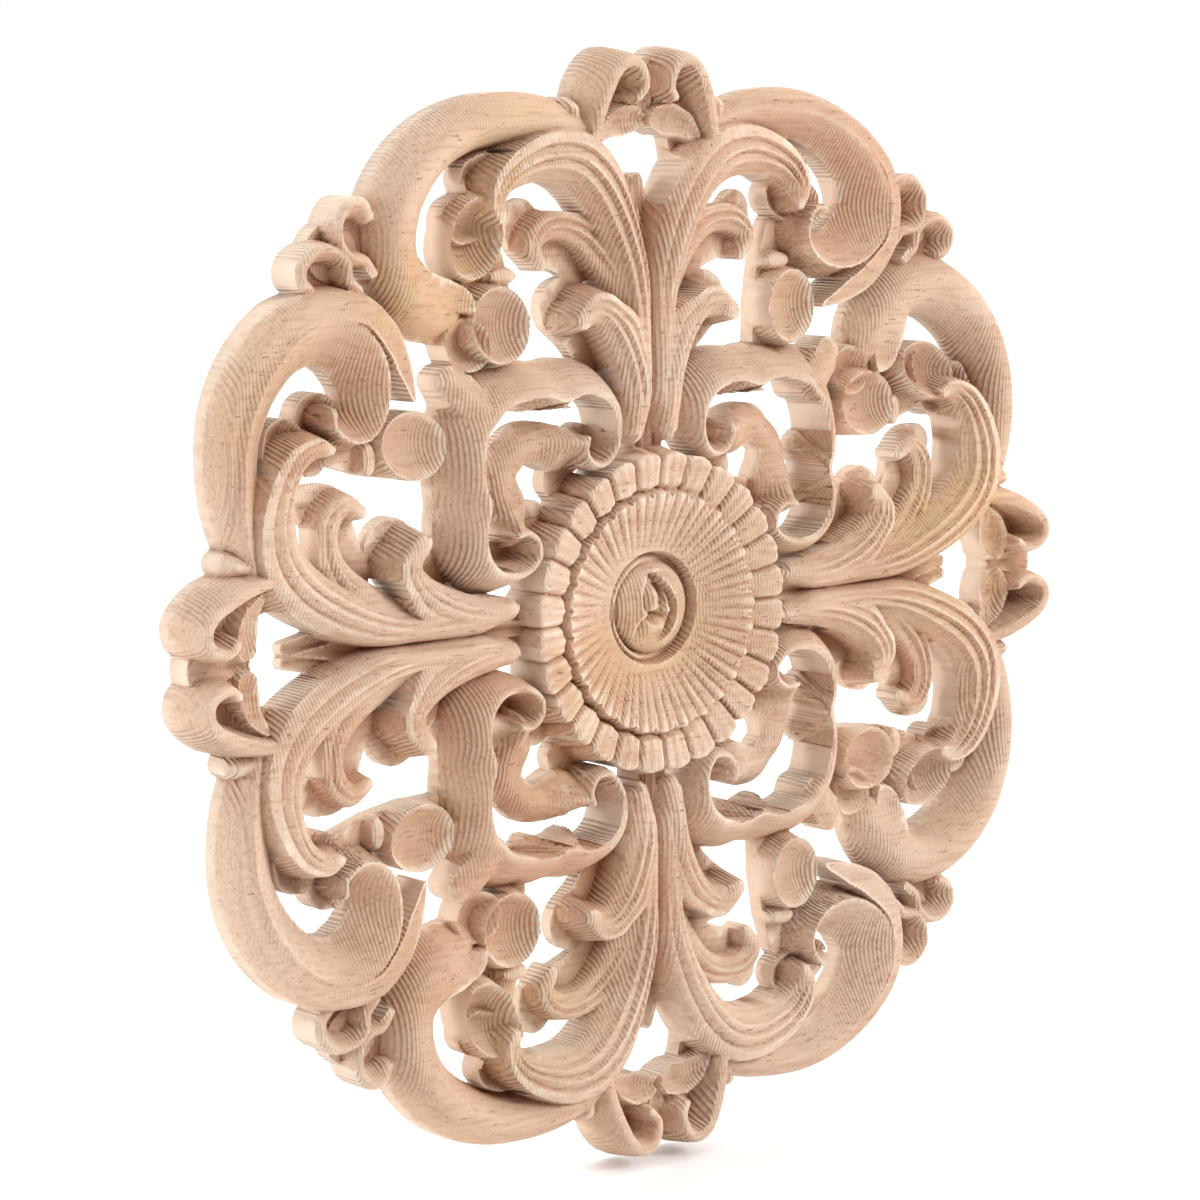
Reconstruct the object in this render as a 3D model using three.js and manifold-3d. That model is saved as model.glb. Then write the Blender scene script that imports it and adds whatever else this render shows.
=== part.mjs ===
// Round pierced applique carved from one flat panel of pale hardwood.
// Millimetres, Z up. The panel stands in the XZ plane with its flat back on y = 0, and the carving
// rises toward -Y. The origin is the centre of the back.

import * as THREE from 'three';
import { mergeVertices } from 'three/addons/utils/BufferGeometryUtils.js';
import { SimplifyModifier } from 'three/addons/modifiers/SimplifyModifier.js';
import Module from 'manifold-3d';

const wasm = await Module();
wasm.setup();

// Overall sizes
const OUTER_DIAMETER = 300;
const PANEL_THICKNESS = 17;

// Rosette sizes
const ROSETTE_DIAMETER = 84;
const ROSETTE_PETALS = 28;
const PETAL_NOTCH = 2;
const PETAL_RING_INNER_DIAMETER = 66;
const DISH_DIAMETER = 63;
const HOLLOW_DIAMETER = 32;
const BUD_DIAMETER = 22;

// Rosette heights above the back
const PETAL_CREST_HEIGHT = 15.4;
const PETAL_EDGE_HEIGHT = 13.2;
const RING_GAP_HEIGHT = 9;
const DISH_RIM_HEIGHT = 14.4;
const DISH_FLOOR_HEIGHT = 8.6;
const HOLLOW_HEIGHT = 6.4;
const BUD_HEIGHT = 12.2;

// Plan lengths of the carved strokes are in percent of the outer radius, and heights in percent of the
// panel's thickness, measured up from the flat back.
const PLAN = OUTER_DIAMETER / 200;
const RELIEF = PANEL_THICKNESS / 100;

// One eighth of the design, between the x axis and the diagonal, is drawn below. A stroke is a raised band
// along a smooth path: path holds the points of its centre line, half its half-widths to the left and right
// of travel (one number where both are equal), and top the heights of its left edge, crest and right edge
// (one number where it is flat). A bowl is an oval with a raised rim and a hollow or domed floor.

const LEAF = [
  {
    name: 'low lobe of the axis leaf',
    path: [[32.6, 4.2], [37, 3.6], [44, 4.8], [50, 7.6], [53.6, 11.2], [54.2, 14.6], [52.4, 17.2]],
    half: [[1.6, 2.2], [2.8, 3], [3.2, 4], [3.2, 3.8], [2.8, 3], [2.5, 2.2], [1.5, 1.4]],
    top: [[60, 76, 60], [66, 88, 60], [64, 92, 64], [62, 92, 78], [64, 93, 86], [78, 92, 84], [88, 92, 84]],
  },
  {
    name: 'middle curl of the axis leaf',
    path: [[52, 3.2], [60, 7], [66.2, 12], [68.6, 17], [68.4, 21.5], [65.6, 24.4], [62.2, 23]],
    half: [[2.5], [3.2], [3], [2.4], [2.4], [2], [1.2]],
    top: [[60], [54], [48], [50], [52], [50], [50]],
  },
  {
    name: 'large outward lobe of the axis leaf',
    path: [
      [42, 2.2], [52, 3], [60, 4.2], [68, 7.2], [75, 11.4], [79.4, 16.4],
      [80.6, 22], [79.4, 27.5], [76.8, 32.2], [73.4, 34.4], [70.6, 34.2],
    ],
    half: [
      [2.2], [2.6, 2.8], [3.2, 3.8], [4, 4.6], [4.4, 5.2], [4.6, 5],
      [4.4], [3.4, 3.8], [2.4, 3], [1.6, 2], [0.9, 1],
    ],
    top: [
      [66, 80, 60], [58, 86, 58], [54, 90, 58], [52, 92, 62], [52, 94, 72], [54, 94, 84],
      [56, 93, 86], [58, 92, 86], [66, 90, 84], [78, 88, 82], [80, 84, 80],
    ],
  },
];

const INNER_SCROLL = [
  {
    name: 'inner C-scroll',
    path: [
      [32, 16.8], [29.8, 17], [27.6, 15.4], [27.2, 12.6], [29.4, 10.4], [33.2, 9.6], [37, 10.6],
      [39.6, 13.6], [40.2, 18], [38.9, 22.4], [40.2, 26.5], [40.2, 31], [39, 34.8], [36.9, 36.9],
    ],
    half: [
      [0.6], [0.7, 0.8], [0.7, 0.9], [0.7, 1], [0.7, 1.2], [0.7, 2.4], [0.7, 4],
      [0.7, 5], [0.7, 5.6], [0.7, 6.6], [0.7, 5.6], [0.7, 5.4], [0.7, 6.4], [0.7, 7.4],
    ],
    top: [
      [88, 80], [86, 70], [84, 66], [84, 60], [86, 56], [90, 40], [94, 34],
      [97, 30], [100, 26], [100, 24], [98, 24], [96, 24], [94, 26], [92, 28],
    ],
  },
  {
    name: 'corner spur',
    path: [[38, 38], [41.5, 41.5], [44.2, 43.4]],
    half: [[3], [3.2], [2]],
    top: [[84], [74], [62]],
  },
  {
    name: 'crescent scroll',
    path: [[31.4, 17.4], [31.6, 20.4], [32.2, 23.6], [31.4, 27], [29.2, 29.2]],
    half: [[3, 1.2], [5.2, 2.6], [4.2, 2.6], [3.2, 2.6], [2.6, 2.6]],
    top: [[88], [60], [44], [38], [36]],
  },
];

const INNER_BOWLS = [
  { name: 'bowl lobe', centre: [52, 33.4], radii: [6.8, 5.1], angle: 4, rim: 70, dish: 36, tilt: -12 },
  { name: 'tooth', centre: [60.6, 31.6], radii: [1.4, 2.6], angle: 0, rim: 50, dish: 0 },
  { name: 'scallop by the leaf', centre: [70.5, 38.2], radii: [4.8, 5], angle: 0, rim: 42, dish: 0 },
  { name: 'scallop by the rim', centre: [77.5, 35], radii: [4.4, 4.4], angle: 0, rim: 44, dish: 0 },
];

const AXIS_END = [
  {
    name: 'looped ribbon',
    path: [
      [80, 14.4], [84, 13.8], [88, 12.8], [92, 11.2], [95.2, 9.4],
      [96.8, 7], [96.3, 4.6], [94.4, 3.2], [92, 2.8], [90.2, 4],
    ],
    half: [[1.4], [1.6, 1.3], [2.4, 1.3], [2.8, 1.3], [2.3, 1.2], [2.2, 1.2], [2.2, 1.1], [1.8, 1.1], [1.5, 1], [1]],
    top: [
      [60, 80, 76], [50, 86, 82], [34, 90, 86], [22, 94, 90], [20, 97, 94],
      [18, 98, 95], [20, 98, 94], [40, 97, 92], [46, 94, 90], [70, 90, 86],
    ],
  },
  {
    name: 'concave inner leaf',
    path: [[83.4, 10.8], [85.4, 8], [86.2, 5.2], [86.6, 3]],
    half: [[1], [2.2, 2], [2.8, 2.6], [2.2]],
    top: [[68, 60, 56], [70, 48, 50], [70, 42, 48], [64, 48, 56]],
  },
  {
    name: 'side leaf',
    path: [[81, 14.8], [85, 15.8], [88.4, 16.6]],
    half: [[2], [2.4], [2.2]],
    top: [[44, 58, 44], [40, 66, 40], [36, 70, 36]],
  },
];

const AXIS_BOWLS = [
  { name: 'floor of the loop', centre: [92.4, 7.2], radii: [6, 6], angle: 0, rim: 36, dish: 0 },
];

const DIAGONAL_CURL = [
  {
    name: 'small outer curl',
    path: [
      [62.5, 59.6], [64.6, 61.6], [65.2, 64.4], [67.6, 66.4],
      [71.2, 66.6], [73.8, 64.4], [73.8, 61.6], [71.8, 60],
    ],
    half: [[0.9], [1], [0.9, 1.2], [0.9, 1.6], [1, 2.4], [1.2, 2.8], [1.2, 2.4], [1.2]],
    top: [[64, 60], [66, 62], [68, 60], [68, 50], [68, 40], [66, 36], [62, 40], [58, 50]],
  },
];

// Rim scroll with an outer strip, a hollow inside it and a spoon at its end
const SPOON_SCROLL = [
  {
    name: 'outer strip',
    path: [
      [52.3, 41.3], [54.4, 46.6], [57.6, 52], [62.8, 56.4], [70, 57.8], [77, 56],
      [83, 50.8], [87, 44.4], [89, 38], [89.4, 31], [88, 23], [84.5, 15],
    ],
    half: [
      [0.6], [1.9, 2], [2.7, 2.6], [2.8, 2.4], [2.2, 2.3], [2.4, 2.3],
      [2.4, 2.3], [2.4, 2.2], [2.2], [2.1, 2.2], [2.2], [2.2],
    ],
    top: [
      [64, 68, 70], [64, 72, 78], [66, 80, 88], [68, 87, 95], [66, 90, 96], [52, 86, 93],
      [36, 80, 87], [26, 74, 81], [22, 71, 78], [22, 70, 76], [22, 62, 70], [22, 50, 56],
    ],
  },
  {
    name: 'hollow and spoon',
    path: [
      [85, 14], [87, 22], [87.6, 30], [86.6, 38], [83.4, 45.6], [77.8, 52], [70.5, 55.4], [64.4, 54],
      [60.4, 49.6], [58.9, 44], [60.4, 38.4], [63.6, 35.4], [67, 35.4], [69.8, 37.6], [69.6, 40.2],
    ],
    half: [
      [4.6, 1], [4.8, 1], [4.8, 1], [5, 1], [5.6, 1], [6.2, 1], [7.4, 1], [8.2, 1],
      [7.6, 1], [6.4, 0.8], [5.4, 0.7], [4.4, 0.7], [3.4, 0.7], [2, 0.7], [0.9, 0.7],
    ],
    top: [
      [50, 64], [48, 70], [46, 74], [44, 78], [42, 84], [40, 88], [38, 92], [34, 90],
      [32, 88], [32, 86], [34, 86], [38, 86], [42, 86], [56, 84], [70, 82],
    ],
  },
];

// Rim scroll with one rounded crown and a boat-shaped scoop at its end
const CROWNED_SCROLL = [
  {
    name: 'crowned band',
    path: [
      [84, 14], [86.6, 22], [87.4, 30], [86.4, 38], [83.2, 45.6], [77.8, 51.6],
      [71, 55], [64, 55], [58.8, 51.6], [56.2, 46.8], [55.6, 44.2],
    ],
    half: [
      [3.5, 4], [4.4], [5.2, 4.2], [5.6, 4.2], [6.2, 4.4], [6.8, 4.6],
      [6.8, 5], [5.6, 5], [4.6, 5], [4.4, 5], [3.8, 4.2],
    ],
    top: [
      [60, 72, 30], [40, 80, 30], [24, 86, 30], [14, 88, 30], [12, 88, 30], [18, 88, 30],
      [28, 88, 30], [44, 86, 28], [54, 80, 24], [50, 76, 20], [44, 70, 20],
    ],
  },
];

const CROWNED_BOWLS = [
  { name: 'boat scoop', centre: [66.2, 39.4], radii: [6.4, 4], angle: -16, rim: 82, dish: 40 },
  { name: 'skirt of the scoop', centre: [65, 38], radii: [8.6, 5], angle: -8, rim: 50, dish: 0 },
  { name: 'cup by the band end', centre: [49.8, 39.8], radii: [3.6, 3.4], angle: 0, rim: 56, dish: 20 },
];

// Low flat grounds between the raised strokes: corners in plan, and the height of the top
const EIGHTH_GROUNDS = [
  { name: 'valley along the axis', height: 34, corners: [[26, -0.5], [76, -0.5], [73, 3.2], [26, 3.2]] },
  {
    name: 'skirt of the low lobe',
    height: 22,
    corners: [[44, 8], [52, 8], [59, 12.5], [59.5, 17], [56, 21], [50.6, 18.6]],
  },
  {
    name: 'skirt of the middle curl',
    height: 18,
    corners: [[60, 9], [70, 15], [74, 24.5], [69.5, 29], [62.4, 26], [61, 17]],
  },
  { name: 'hook floor', height: 22, corners: [[27.5, 11], [33, 10.4], [36, 15], [31, 18]] },
  { name: 'crescent floor', height: 26, corners: [[17.4, 16.4], [20.4, 11.6], [28, 16], [26, 21.6], [22, 21.4]] },
  { name: 'low web', height: 36, corners: [[41, 27.6], [52, 27.6], [68, 30.6], [67, 36.4], [44, 34]] },
  { name: 'neck of the axis end', height: 30, corners: [[78, 8.4], [83.4, 7.2], [88, 5.4], [92, 12.4], [79, 15.6]] },
  { name: 'valley between the loops', height: 44, corners: [[86, -0.5], [96.8, -0.5], [97.8, 3], [94, 5.4], [86, 3]] },
  { name: 'curl floor', height: 38, corners: [[64.6, 60.8], [70, 58.2], [74.6, 61], [73.6, 65.6], [68, 66.8]] },
  { name: 'base of the curls', height: 34, corners: [[60, 60], [71.2, 60.8], [71.2, 70.6], [62.6, 70.6]] },
];

const CROWNED_GROUNDS = [
  { name: 'stem of the scoop', height: 34, corners: [[47.2, 39], [53.8, 37], [56, 44], [51, 46]] },
];

// How finely the strokes and bowls are cut
const BEND_STEP = THREE.MathUtils.degToRad(30);
const LENGTH_STEP = 0.14 * OUTER_DIAMETER / 2;
const FINE_STEPS = 12;
const END_REACH = 0.8;
const END_SHRINK = 0.55;
const BOWL_SEGMENTS = 12;
const FACETS = 9900;
const TOUCHING_GAP = 0.2;

// A closed solid from its corners and the triangles between them
function solidFrom(vertices, triangles) {
  const geometry = new THREE.BufferGeometry();
  geometry.setAttribute('position', new THREE.Float32BufferAttribute(vertices, 3));
  geometry.setIndex(triangles);
  const merged = mergeVertices(geometry, 1e-6);
  const mesh = new wasm.Mesh({
    numProp: 3,
    vertProperties: new Float32Array(merged.getAttribute('position').array),
    triVerts: new Uint32Array(merged.getIndex().array),
  });
  return new wasm.Manifold(mesh);
}

function join(solids) {
  return solids.reduce((all, solid) => all.add(solid));
}

// The part of a stroke between two rows of top points, down to the flat back
function blockBetween(rowA, rowB) {
  const vertices = [];
  const count = rowA.length;
  for (const row of [rowA, rowB]) {
    for (const [x, height, z] of row) vertices.push(x, -height, z);
    for (const [x, , z] of row) vertices.push(x, 0, z);
  }
  const topA = 0;
  const backA = count;
  const topB = 2 * count;
  const backB = 3 * count;
  const triangles = [];
  const quad = (a, b, c, d) => triangles.push(a, c, b, a, d, c);
  for (let i = 0; i + 1 < count; i += 1) {
    quad(topA + i, topB + i, topB + i + 1, topA + i + 1);
    quad(backA + i, backA + i + 1, backB + i + 1, backB + i);
    quad(topA + i, topA + i + 1, backA + i + 1, backA + i);
    quad(topB + i, backB + i, backB + i + 1, topB + i + 1);
  }
  const last = count - 1;
  quad(topA, backA, backB, topB);
  quad(topA + last, topB + last, backB + last, backA + last);
  return solidFrom(vertices, triangles);
}

function keyAt(list, share) {
  const place = share * (list.length - 1);
  const index = Math.min(Math.floor(place), list.length - 2);
  const blend = place - index;
  return list[index].map((value, i) => value + (list[index + 1][i] - value) * blend);
}

// The rows of top points across a stroke, from its rounded start to its rounded end. Rows stand closer where
// the path bends. A stroke with no crest of its own runs straight from edge to edge.
function strokeRows({ path, half, top }) {
  const knots = path.map(([x, z]) => new THREE.Vector3(x * PLAN, 0, z * PLAN));
  const curve = new THREE.CatmullRomCurve3(knots, false, 'catmullrom', 0.5);
  const halves = half.map((pair) => (pair.length === 1 ? [pair[0], pair[0]] : pair));
  const crowned = top[0].length === 3;
  const tops = top.map((row) => (row.length === 1 ? [row[0], row[0]] : row));
  const stations = [];
  for (const share of sharesAlong(curve, (path.length - 1) * FINE_STEPS)) {
    const along = curve.getTangent(share);
    const heights = keyAt(tops, share).map((value) => value * RELIEF);
    stations.push({
      centre: curve.getPoint(share),
      along,
      left: new THREE.Vector3(-along.z, 0, along.x),
      halves: keyAt(halves, share).map((value) => value * PLAN),
      edges: [heights[0], heights[heights.length - 1]],
      crest: crowned ? [heights[1]] : [],
    });
  }
  limitToBend(stations);
  const rows = stations.map((station) => rowAcross(station, 0, 1));
  rows.unshift(rowAcross(stations[0], -END_REACH, END_SHRINK));
  rows.push(rowAcross(stations[stations.length - 1], END_REACH, END_SHRINK));
  return rows;
}

function sharesAlong(curve, steps) {
  const shares = [0];
  let bend = 0;
  let length = 0;
  let lastPoint = curve.getPoint(0);
  let lastAlong = curve.getTangent(0);
  for (let i = 1; i < steps; i += 1) {
    const point = curve.getPoint(i / steps);
    const along = curve.getTangent(i / steps);
    bend += along.angleTo(lastAlong);
    length += point.distanceTo(lastPoint);
    if (bend > BEND_STEP || length > LENGTH_STEP) {
      shares.push(i / steps);
      bend = 0;
      length = 0;
    }
    lastPoint = point;
    lastAlong = along;
  }
  shares.push(1);
  return shares;
}

// A half-width on the inside of a bend stays within the bend's radius
function limitToBend(stations) {
  for (let i = 1; i + 1 < stations.length; i += 1) {
    const before = stations[i - 1];
    const after = stations[i + 1];
    const turn = before.along.x * after.along.z - before.along.z * after.along.x;
    const radius = before.centre.distanceTo(after.centre) / Math.max(Math.abs(turn), 1e-6);
    const inside = turn > 0 ? 0 : 1;
    stations[i].halves[inside] = Math.min(stations[i].halves[inside], 0.9 * radius);
  }
}

function rowAcross(station, reach, shrink) {
  const [halfLeft, halfRight] = station.halves;
  const onward = reach * 0.5 * (halfLeft + halfRight);
  const pointAt = (offset, height) => {
    const x = station.centre.x + station.left.x * offset * shrink + station.along.x * onward;
    const z = station.centre.z + station.left.z * offset * shrink + station.along.z * onward;
    return [x, height, z];
  };
  return [
    pointAt(halfLeft, station.edges[0]),
    ...station.crest.map((height) => pointAt(0, height)),
    pointAt(-halfRight, station.edges[1]),
  ];
}

function carveStroke(stroke) {
  const rows = strokeRows(stroke);
  const blocks = [];
  for (let i = 0; i + 1 < rows.length; i += 1) blocks.push(blockBetween(rows[i], rows[i + 1]));
  return join(blocks);
}

// A round solid from rings of top points, from the outer edge to one point in the middle
function ringSolid(rings, middle) {
  const vertices = [];
  const count = rings[0].length;
  for (const ring of rings) for (const [x, height, z] of ring) vertices.push(x, -height, z);
  const backStart = rings.length * count;
  for (const [x, , z] of rings[0]) vertices.push(x, 0, z);
  const topMiddle = backStart + count;
  const backMiddle = topMiddle + 1;
  vertices.push(middle[0], -middle[1], middle[2], middle[0], 0, middle[2]);
  const triangles = [];
  const lastRing = (rings.length - 1) * count;
  for (let i = 0; i < count; i += 1) {
    const next = (i + 1) % count;
    for (let k = 0; k + 1 < rings.length; k += 1) {
      const outer = k * count;
      const inner = outer + count;
      triangles.push(outer + i, outer + next, inner + next, outer + i, inner + next, inner + i);
    }
    triangles.push(lastRing + i, lastRing + next, topMiddle);
    triangles.push(backStart + i, backStart + next, next, backStart + i, next, i);
    triangles.push(backStart + next, backStart + i, backMiddle);
  }
  return solidFrom(vertices, triangles);
}

function carveBowl({ centre, radii, angle, rim, dish, tilt = 0 }) {
  const turned = THREE.MathUtils.degToRad(angle);
  const pointAt = (share, around) => {
    const u = share * Math.cos(around);
    const v = share * Math.sin(around);
    const alongU = u * radii[0];
    const alongV = v * radii[1];
    const x = centre[0] + alongU * Math.cos(turned) - alongV * Math.sin(turned);
    const z = centre[1] + alongU * Math.sin(turned) + alongV * Math.cos(turned);
    const height = rim - dish * (1 - share * share) + tilt * u;
    return [x * PLAN, height * RELIEF, z * PLAN];
  };
  const shares = dish === 0 ? [1] : [1, 0.55];
  const rings = shares.map((share) => {
    const ring = [];
    for (let i = 0; i < BOWL_SEGMENTS; i += 1) ring.push(pointAt(share, (2 * Math.PI * i) / BOWL_SEGMENTS));
    return ring;
  });
  return ringSolid(rings, pointAt(0, 0));
}

// Rosette: a scalloped ring of petals, a fluted dish in it, a round hollow and a bud
function carveRosette() {
  const ring = (count, radius, height, notch = 0, drop = 0) => {
    const points = [];
    for (let i = 0; i < count; i += 1) {
      const around = (2 * Math.PI * i) / count;
      const between = i % 3 === 0 ? 1 : 0;
      const r = radius - notch * between;
      points.push([r * Math.cos(around), height - drop * between, r * Math.sin(around)]);
    }
    return points;
  };
  const outer = ROSETTE_DIAMETER / 2;
  const inner = PETAL_RING_INNER_DIAMETER / 2;
  const dish = DISH_DIAMETER / 2;
  const hollow = HOLLOW_DIAMETER / 2;
  const bud = BUD_DIAMETER / 2;
  const around = 3 * ROSETTE_PETALS;
  const petalDrop = PETAL_CREST_HEIGHT - PETAL_EDGE_HEIGHT;
  const petals = ringSolid(
    [
      ring(around, outer, PETAL_EDGE_HEIGHT, PETAL_NOTCH, petalDrop),
      ring(around, 0.6 * outer + 0.4 * inner, PETAL_CREST_HEIGHT, 0, petalDrop),
      ring(around, inner, PETAL_EDGE_HEIGHT),
      ring(around, inner - (inner - dish) / 2, RING_GAP_HEIGHT),
    ],
    [0, RING_GAP_HEIGHT, 0],
  );
  const bowl = ringSolid(
    [
      ring(ROSETTE_PETALS, dish, DISH_RIM_HEIGHT),
      ring(ROSETTE_PETALS, hollow, DISH_FLOOR_HEIGHT),
      ring(ROSETTE_PETALS, hollow * 0.96, HOLLOW_HEIGHT),
      ring(ROSETTE_PETALS, bud, HOLLOW_HEIGHT),
      ring(ROSETTE_PETALS, bud * 0.7, BUD_HEIGHT * 0.92),
    ],
    [0, BUD_HEIGHT, 0],
  );
  const seat = ringSolid(
    [ring(ROSETTE_PETALS, dish, BUD_HEIGHT + PANEL_THICKNESS)],
    [0, BUD_HEIGHT + PANEL_THICKNESS, 0],
  );
  return petals.subtract(seat).add(bowl);
}

function geometryFrom(solid) {
  const data = solid.getMesh();
  const geometry = new THREE.BufferGeometry();
  const positions = new Float32Array(data.numVert * 3);
  for (let i = 0; i < data.numVert; i += 1) {
    for (let axis = 0; axis < 3; axis += 1) {
      positions[3 * i + axis] = data.vertProperties[data.numProp * i + axis];
    }
  }
  geometry.setAttribute('position', new THREE.BufferAttribute(positions, 3));
  geometry.setIndex(new THREE.BufferAttribute(new Uint32Array(data.triVerts), 1));
  return geometry;
}

// A mirrored copy of a carved solid, where place gives the new x and z of a point
function mirrored(solid, place) {
  const geometry = geometryFrom(solid);
  const positions = geometry.getAttribute('position');
  for (let i = 0; i < positions.count; i += 1) {
    const [x, z] = place(positions.getX(i), positions.getZ(i));
    positions.setX(i, x);
    positions.setZ(i, z);
  }
  const triangles = geometry.getIndex().array;
  for (let i = 0; i < triangles.length; i += 3) {
    const second = triangles[i + 1];
    triangles[i + 1] = triangles[i + 2];
    triangles[i + 2] = second;
  }
  return solidFrom(positions.array, Array.from(triangles));
}

const acrossDiagonal = (x, z) => [z, x];
const toTheLeft = (x, z) => [-x, z];
const toTheFoot = (x, z) => [x, -z];

function carveGround({ height, corners }) {
  const rim = corners.map(([x, z]) => [x * PLAN, height * RELIEF, z * PLAN]);
  const middle = [0, 0, 0];
  for (const corner of rim) corner.forEach((value, axis) => { middle[axis] += value / rim.length; });
  return ringSolid([rim], middle);
}

function carveAll(strokes, bowls = [], grounds = []) {
  return join([...strokes.map(carveStroke), ...bowls.map(carveBowl), ...grounds.map(carveGround)]);
}

const eighth = carveAll(
  [...LEAF, ...INNER_SCROLL, ...AXIS_END, ...DIAGONAL_CURL],
  [...INNER_BOWLS, ...AXIS_BOWLS],
  EIGHTH_GROUNDS,
);
const spoonScroll = carveAll(SPOON_SCROLL);
const crownedScroll = carveAll(CROWNED_SCROLL, CROWNED_BOWLS, CROWNED_GROUNDS);

// Seen from the front, the left half has the spoon scrolls beside the horizontal axis and the crowned
// scrolls beside the vertical one. On the right half they change places.
const quarter = join([eighth, mirrored(eighth, acrossDiagonal)]);
const leftQuarter = join([quarter, spoonScroll, mirrored(crownedScroll, acrossDiagonal)]);
const rightQuarter = join([quarter, crownedScroll, mirrored(spoonScroll, acrossDiagonal)]);
const upperHalf = join([mirrored(leftQuarter, toTheLeft), rightQuarter]);
const carved = join([upperHalf, mirrored(upperHalf, toTheFoot), carveRosette()]);

// Facets smaller than the carving needs are merged into their neighbours
async function withoutTinyFacets(solid) {
  const surplus = solid.numTri() - FACETS;
  if (surplus <= 0) return solid;
  const merged = await new SimplifyModifier().modify(geometryFrom(solid), Math.round(surplus / 2));
  return solidFrom(merged.getAttribute('position').array, Array.from(merged.getIndex().array));
}

// Where two walls only touch along an edge, each is drawn back a little so that the body stays closed
function partTouchingCorners(geometry) {
  const corners = geometry.getAttribute('position');
  geometry.computeVertexNormals();
  const normals = geometry.getAttribute('normal');
  const seen = new Map();
  for (let i = 0; i < corners.count; i += 1) {
    const key = `${corners.getX(i)},${corners.getY(i)},${corners.getZ(i)}`;
    seen.set(key, [...(seen.get(key) ?? []), i]);
  }
  for (const twins of seen.values()) {
    if (twins.length === 1) continue;
    for (const i of twins) {
      const outward = Math.hypot(normals.getX(i), normals.getZ(i)) || 1;
      corners.setX(i, corners.getX(i) - (TOUCHING_GAP / 2) * (normals.getX(i) / outward));
      corners.setZ(i, corners.getZ(i) - (TOUCHING_GAP / 2) * (normals.getZ(i) / outward));
    }
  }
  geometry.deleteAttribute('normal');
  return geometry;
}

const wood = new THREE.MeshStandardMaterial({ color: 0xd9b48c, roughness: 0.72, metalness: 0 });

const surface = partTouchingCorners(geometryFrom(await withoutTinyFacets(carved)));
const applique = new THREE.Mesh(surface, wood);
applique.name = 'applique';

const part = new THREE.Group();
part.name = 'wood_applique';
part.add(applique);

export default part;
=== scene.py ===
"""Looks of a round pierced wood applique: one carved panel in soft studio light, from the photo's angle."""

import logging
import math
from dataclasses import dataclass
from enum import Enum

import bpy
import numpy as np
from mathutils import Matrix, Vector

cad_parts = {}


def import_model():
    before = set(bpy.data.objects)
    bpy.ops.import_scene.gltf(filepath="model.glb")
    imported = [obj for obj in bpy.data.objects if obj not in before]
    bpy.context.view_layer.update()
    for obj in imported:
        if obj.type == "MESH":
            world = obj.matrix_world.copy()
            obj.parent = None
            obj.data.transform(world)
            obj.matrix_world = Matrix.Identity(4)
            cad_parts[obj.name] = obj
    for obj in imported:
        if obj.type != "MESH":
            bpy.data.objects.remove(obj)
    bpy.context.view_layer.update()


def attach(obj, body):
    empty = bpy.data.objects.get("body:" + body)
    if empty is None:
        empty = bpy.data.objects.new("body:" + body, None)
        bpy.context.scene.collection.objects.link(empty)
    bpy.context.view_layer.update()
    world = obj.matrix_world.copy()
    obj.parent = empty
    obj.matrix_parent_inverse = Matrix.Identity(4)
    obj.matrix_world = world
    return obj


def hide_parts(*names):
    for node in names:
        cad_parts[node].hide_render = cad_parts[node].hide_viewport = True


LOG = logging.getLogger("applique")

# Sizes in millimetres. Strokes are drawn in percent of the outer radius, heights in percent of the thickness.
OUTER_RADIUS = 150.0
THICKNESS = 17.0
# Millimetres in one percent of the outer radius and of the thickness.
PLAN = OUTER_RADIUS / 100.0
RELIEF = THICKNESS / 100.0
# How steeply a cut wall falls, as drop over run, and the same in percent of height over percent of plan.
WALL_SLOPE = 5.0
WALL_FALL = WALL_SLOPE * PLAN / RELIEF
# Reach of the steep side of a flute, in percent of the outer radius.
STEEP_SIDE = 0.45
# Fillets where two heights cross and where two outlines meet.
BLEND = 4.0
CORNER_BLEND = 0.5
# Lowest and highest point of the carved face, in percent of the thickness.
FACE_RANGE = (6.0, 99.6)
# Height and inside distance where no shape stands.
OUTSIDE = -1.0e3
# Vertex layer that says how deep a point lies among the carving; the wood's colour is darkened by it as
# painted shade.
RECESS_LAYER = "recess"


class Fineness(Enum):
    """How fine the panel's grid is. The value is its spacing in millimetres."""

    FULL = 0.35
    QUICK = 0.7


@dataclass(frozen=True)
class Band:
    """A raised band along a smooth path.

    Attributes:
        name: what the band is.
        path: points of the centre line, in percent of the outer radius.
        half: half-widths to the left and right of travel, one row for each key.
        top: heights of the left edge, the crest and the right edge, one row for each key.
        power: how the section falls from its crest to its edges.
        flutes: grooves along the band, each (place from -1 to 1, reach of its gentle side, depth). Its
            steep side lies to the right.
        waves: how often the right edge swings, and by what share of its half-width.
    """

    name: str
    path: tuple
    half: tuple
    top: tuple
    power: float = 2.0
    flutes: tuple = ()
    waves: tuple = (0.0, 0.0)


@dataclass(frozen=True)
class Bowl:
    """An oval with a raised rim and a hollow or domed floor.

    Attributes:
        name: what the oval is.
        centre: its middle, in percent of the outer radius.
        radii: its two half-axes.
        angle: how far its first half-axis is turned, in degrees.
        rim: height of its rim, in percent of the thickness.
        dish: how far its middle lies under the rim, or above it when negative.
        tilt: how much the rim rises toward the end of each half-axis.
        power: how the section falls from the rim to the middle.
    """

    name: str
    centre: tuple
    radii: tuple
    angle: float
    rim: float
    dish: float
    tilt: tuple = (0.0, 0.0)
    power: float = 2.0


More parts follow.
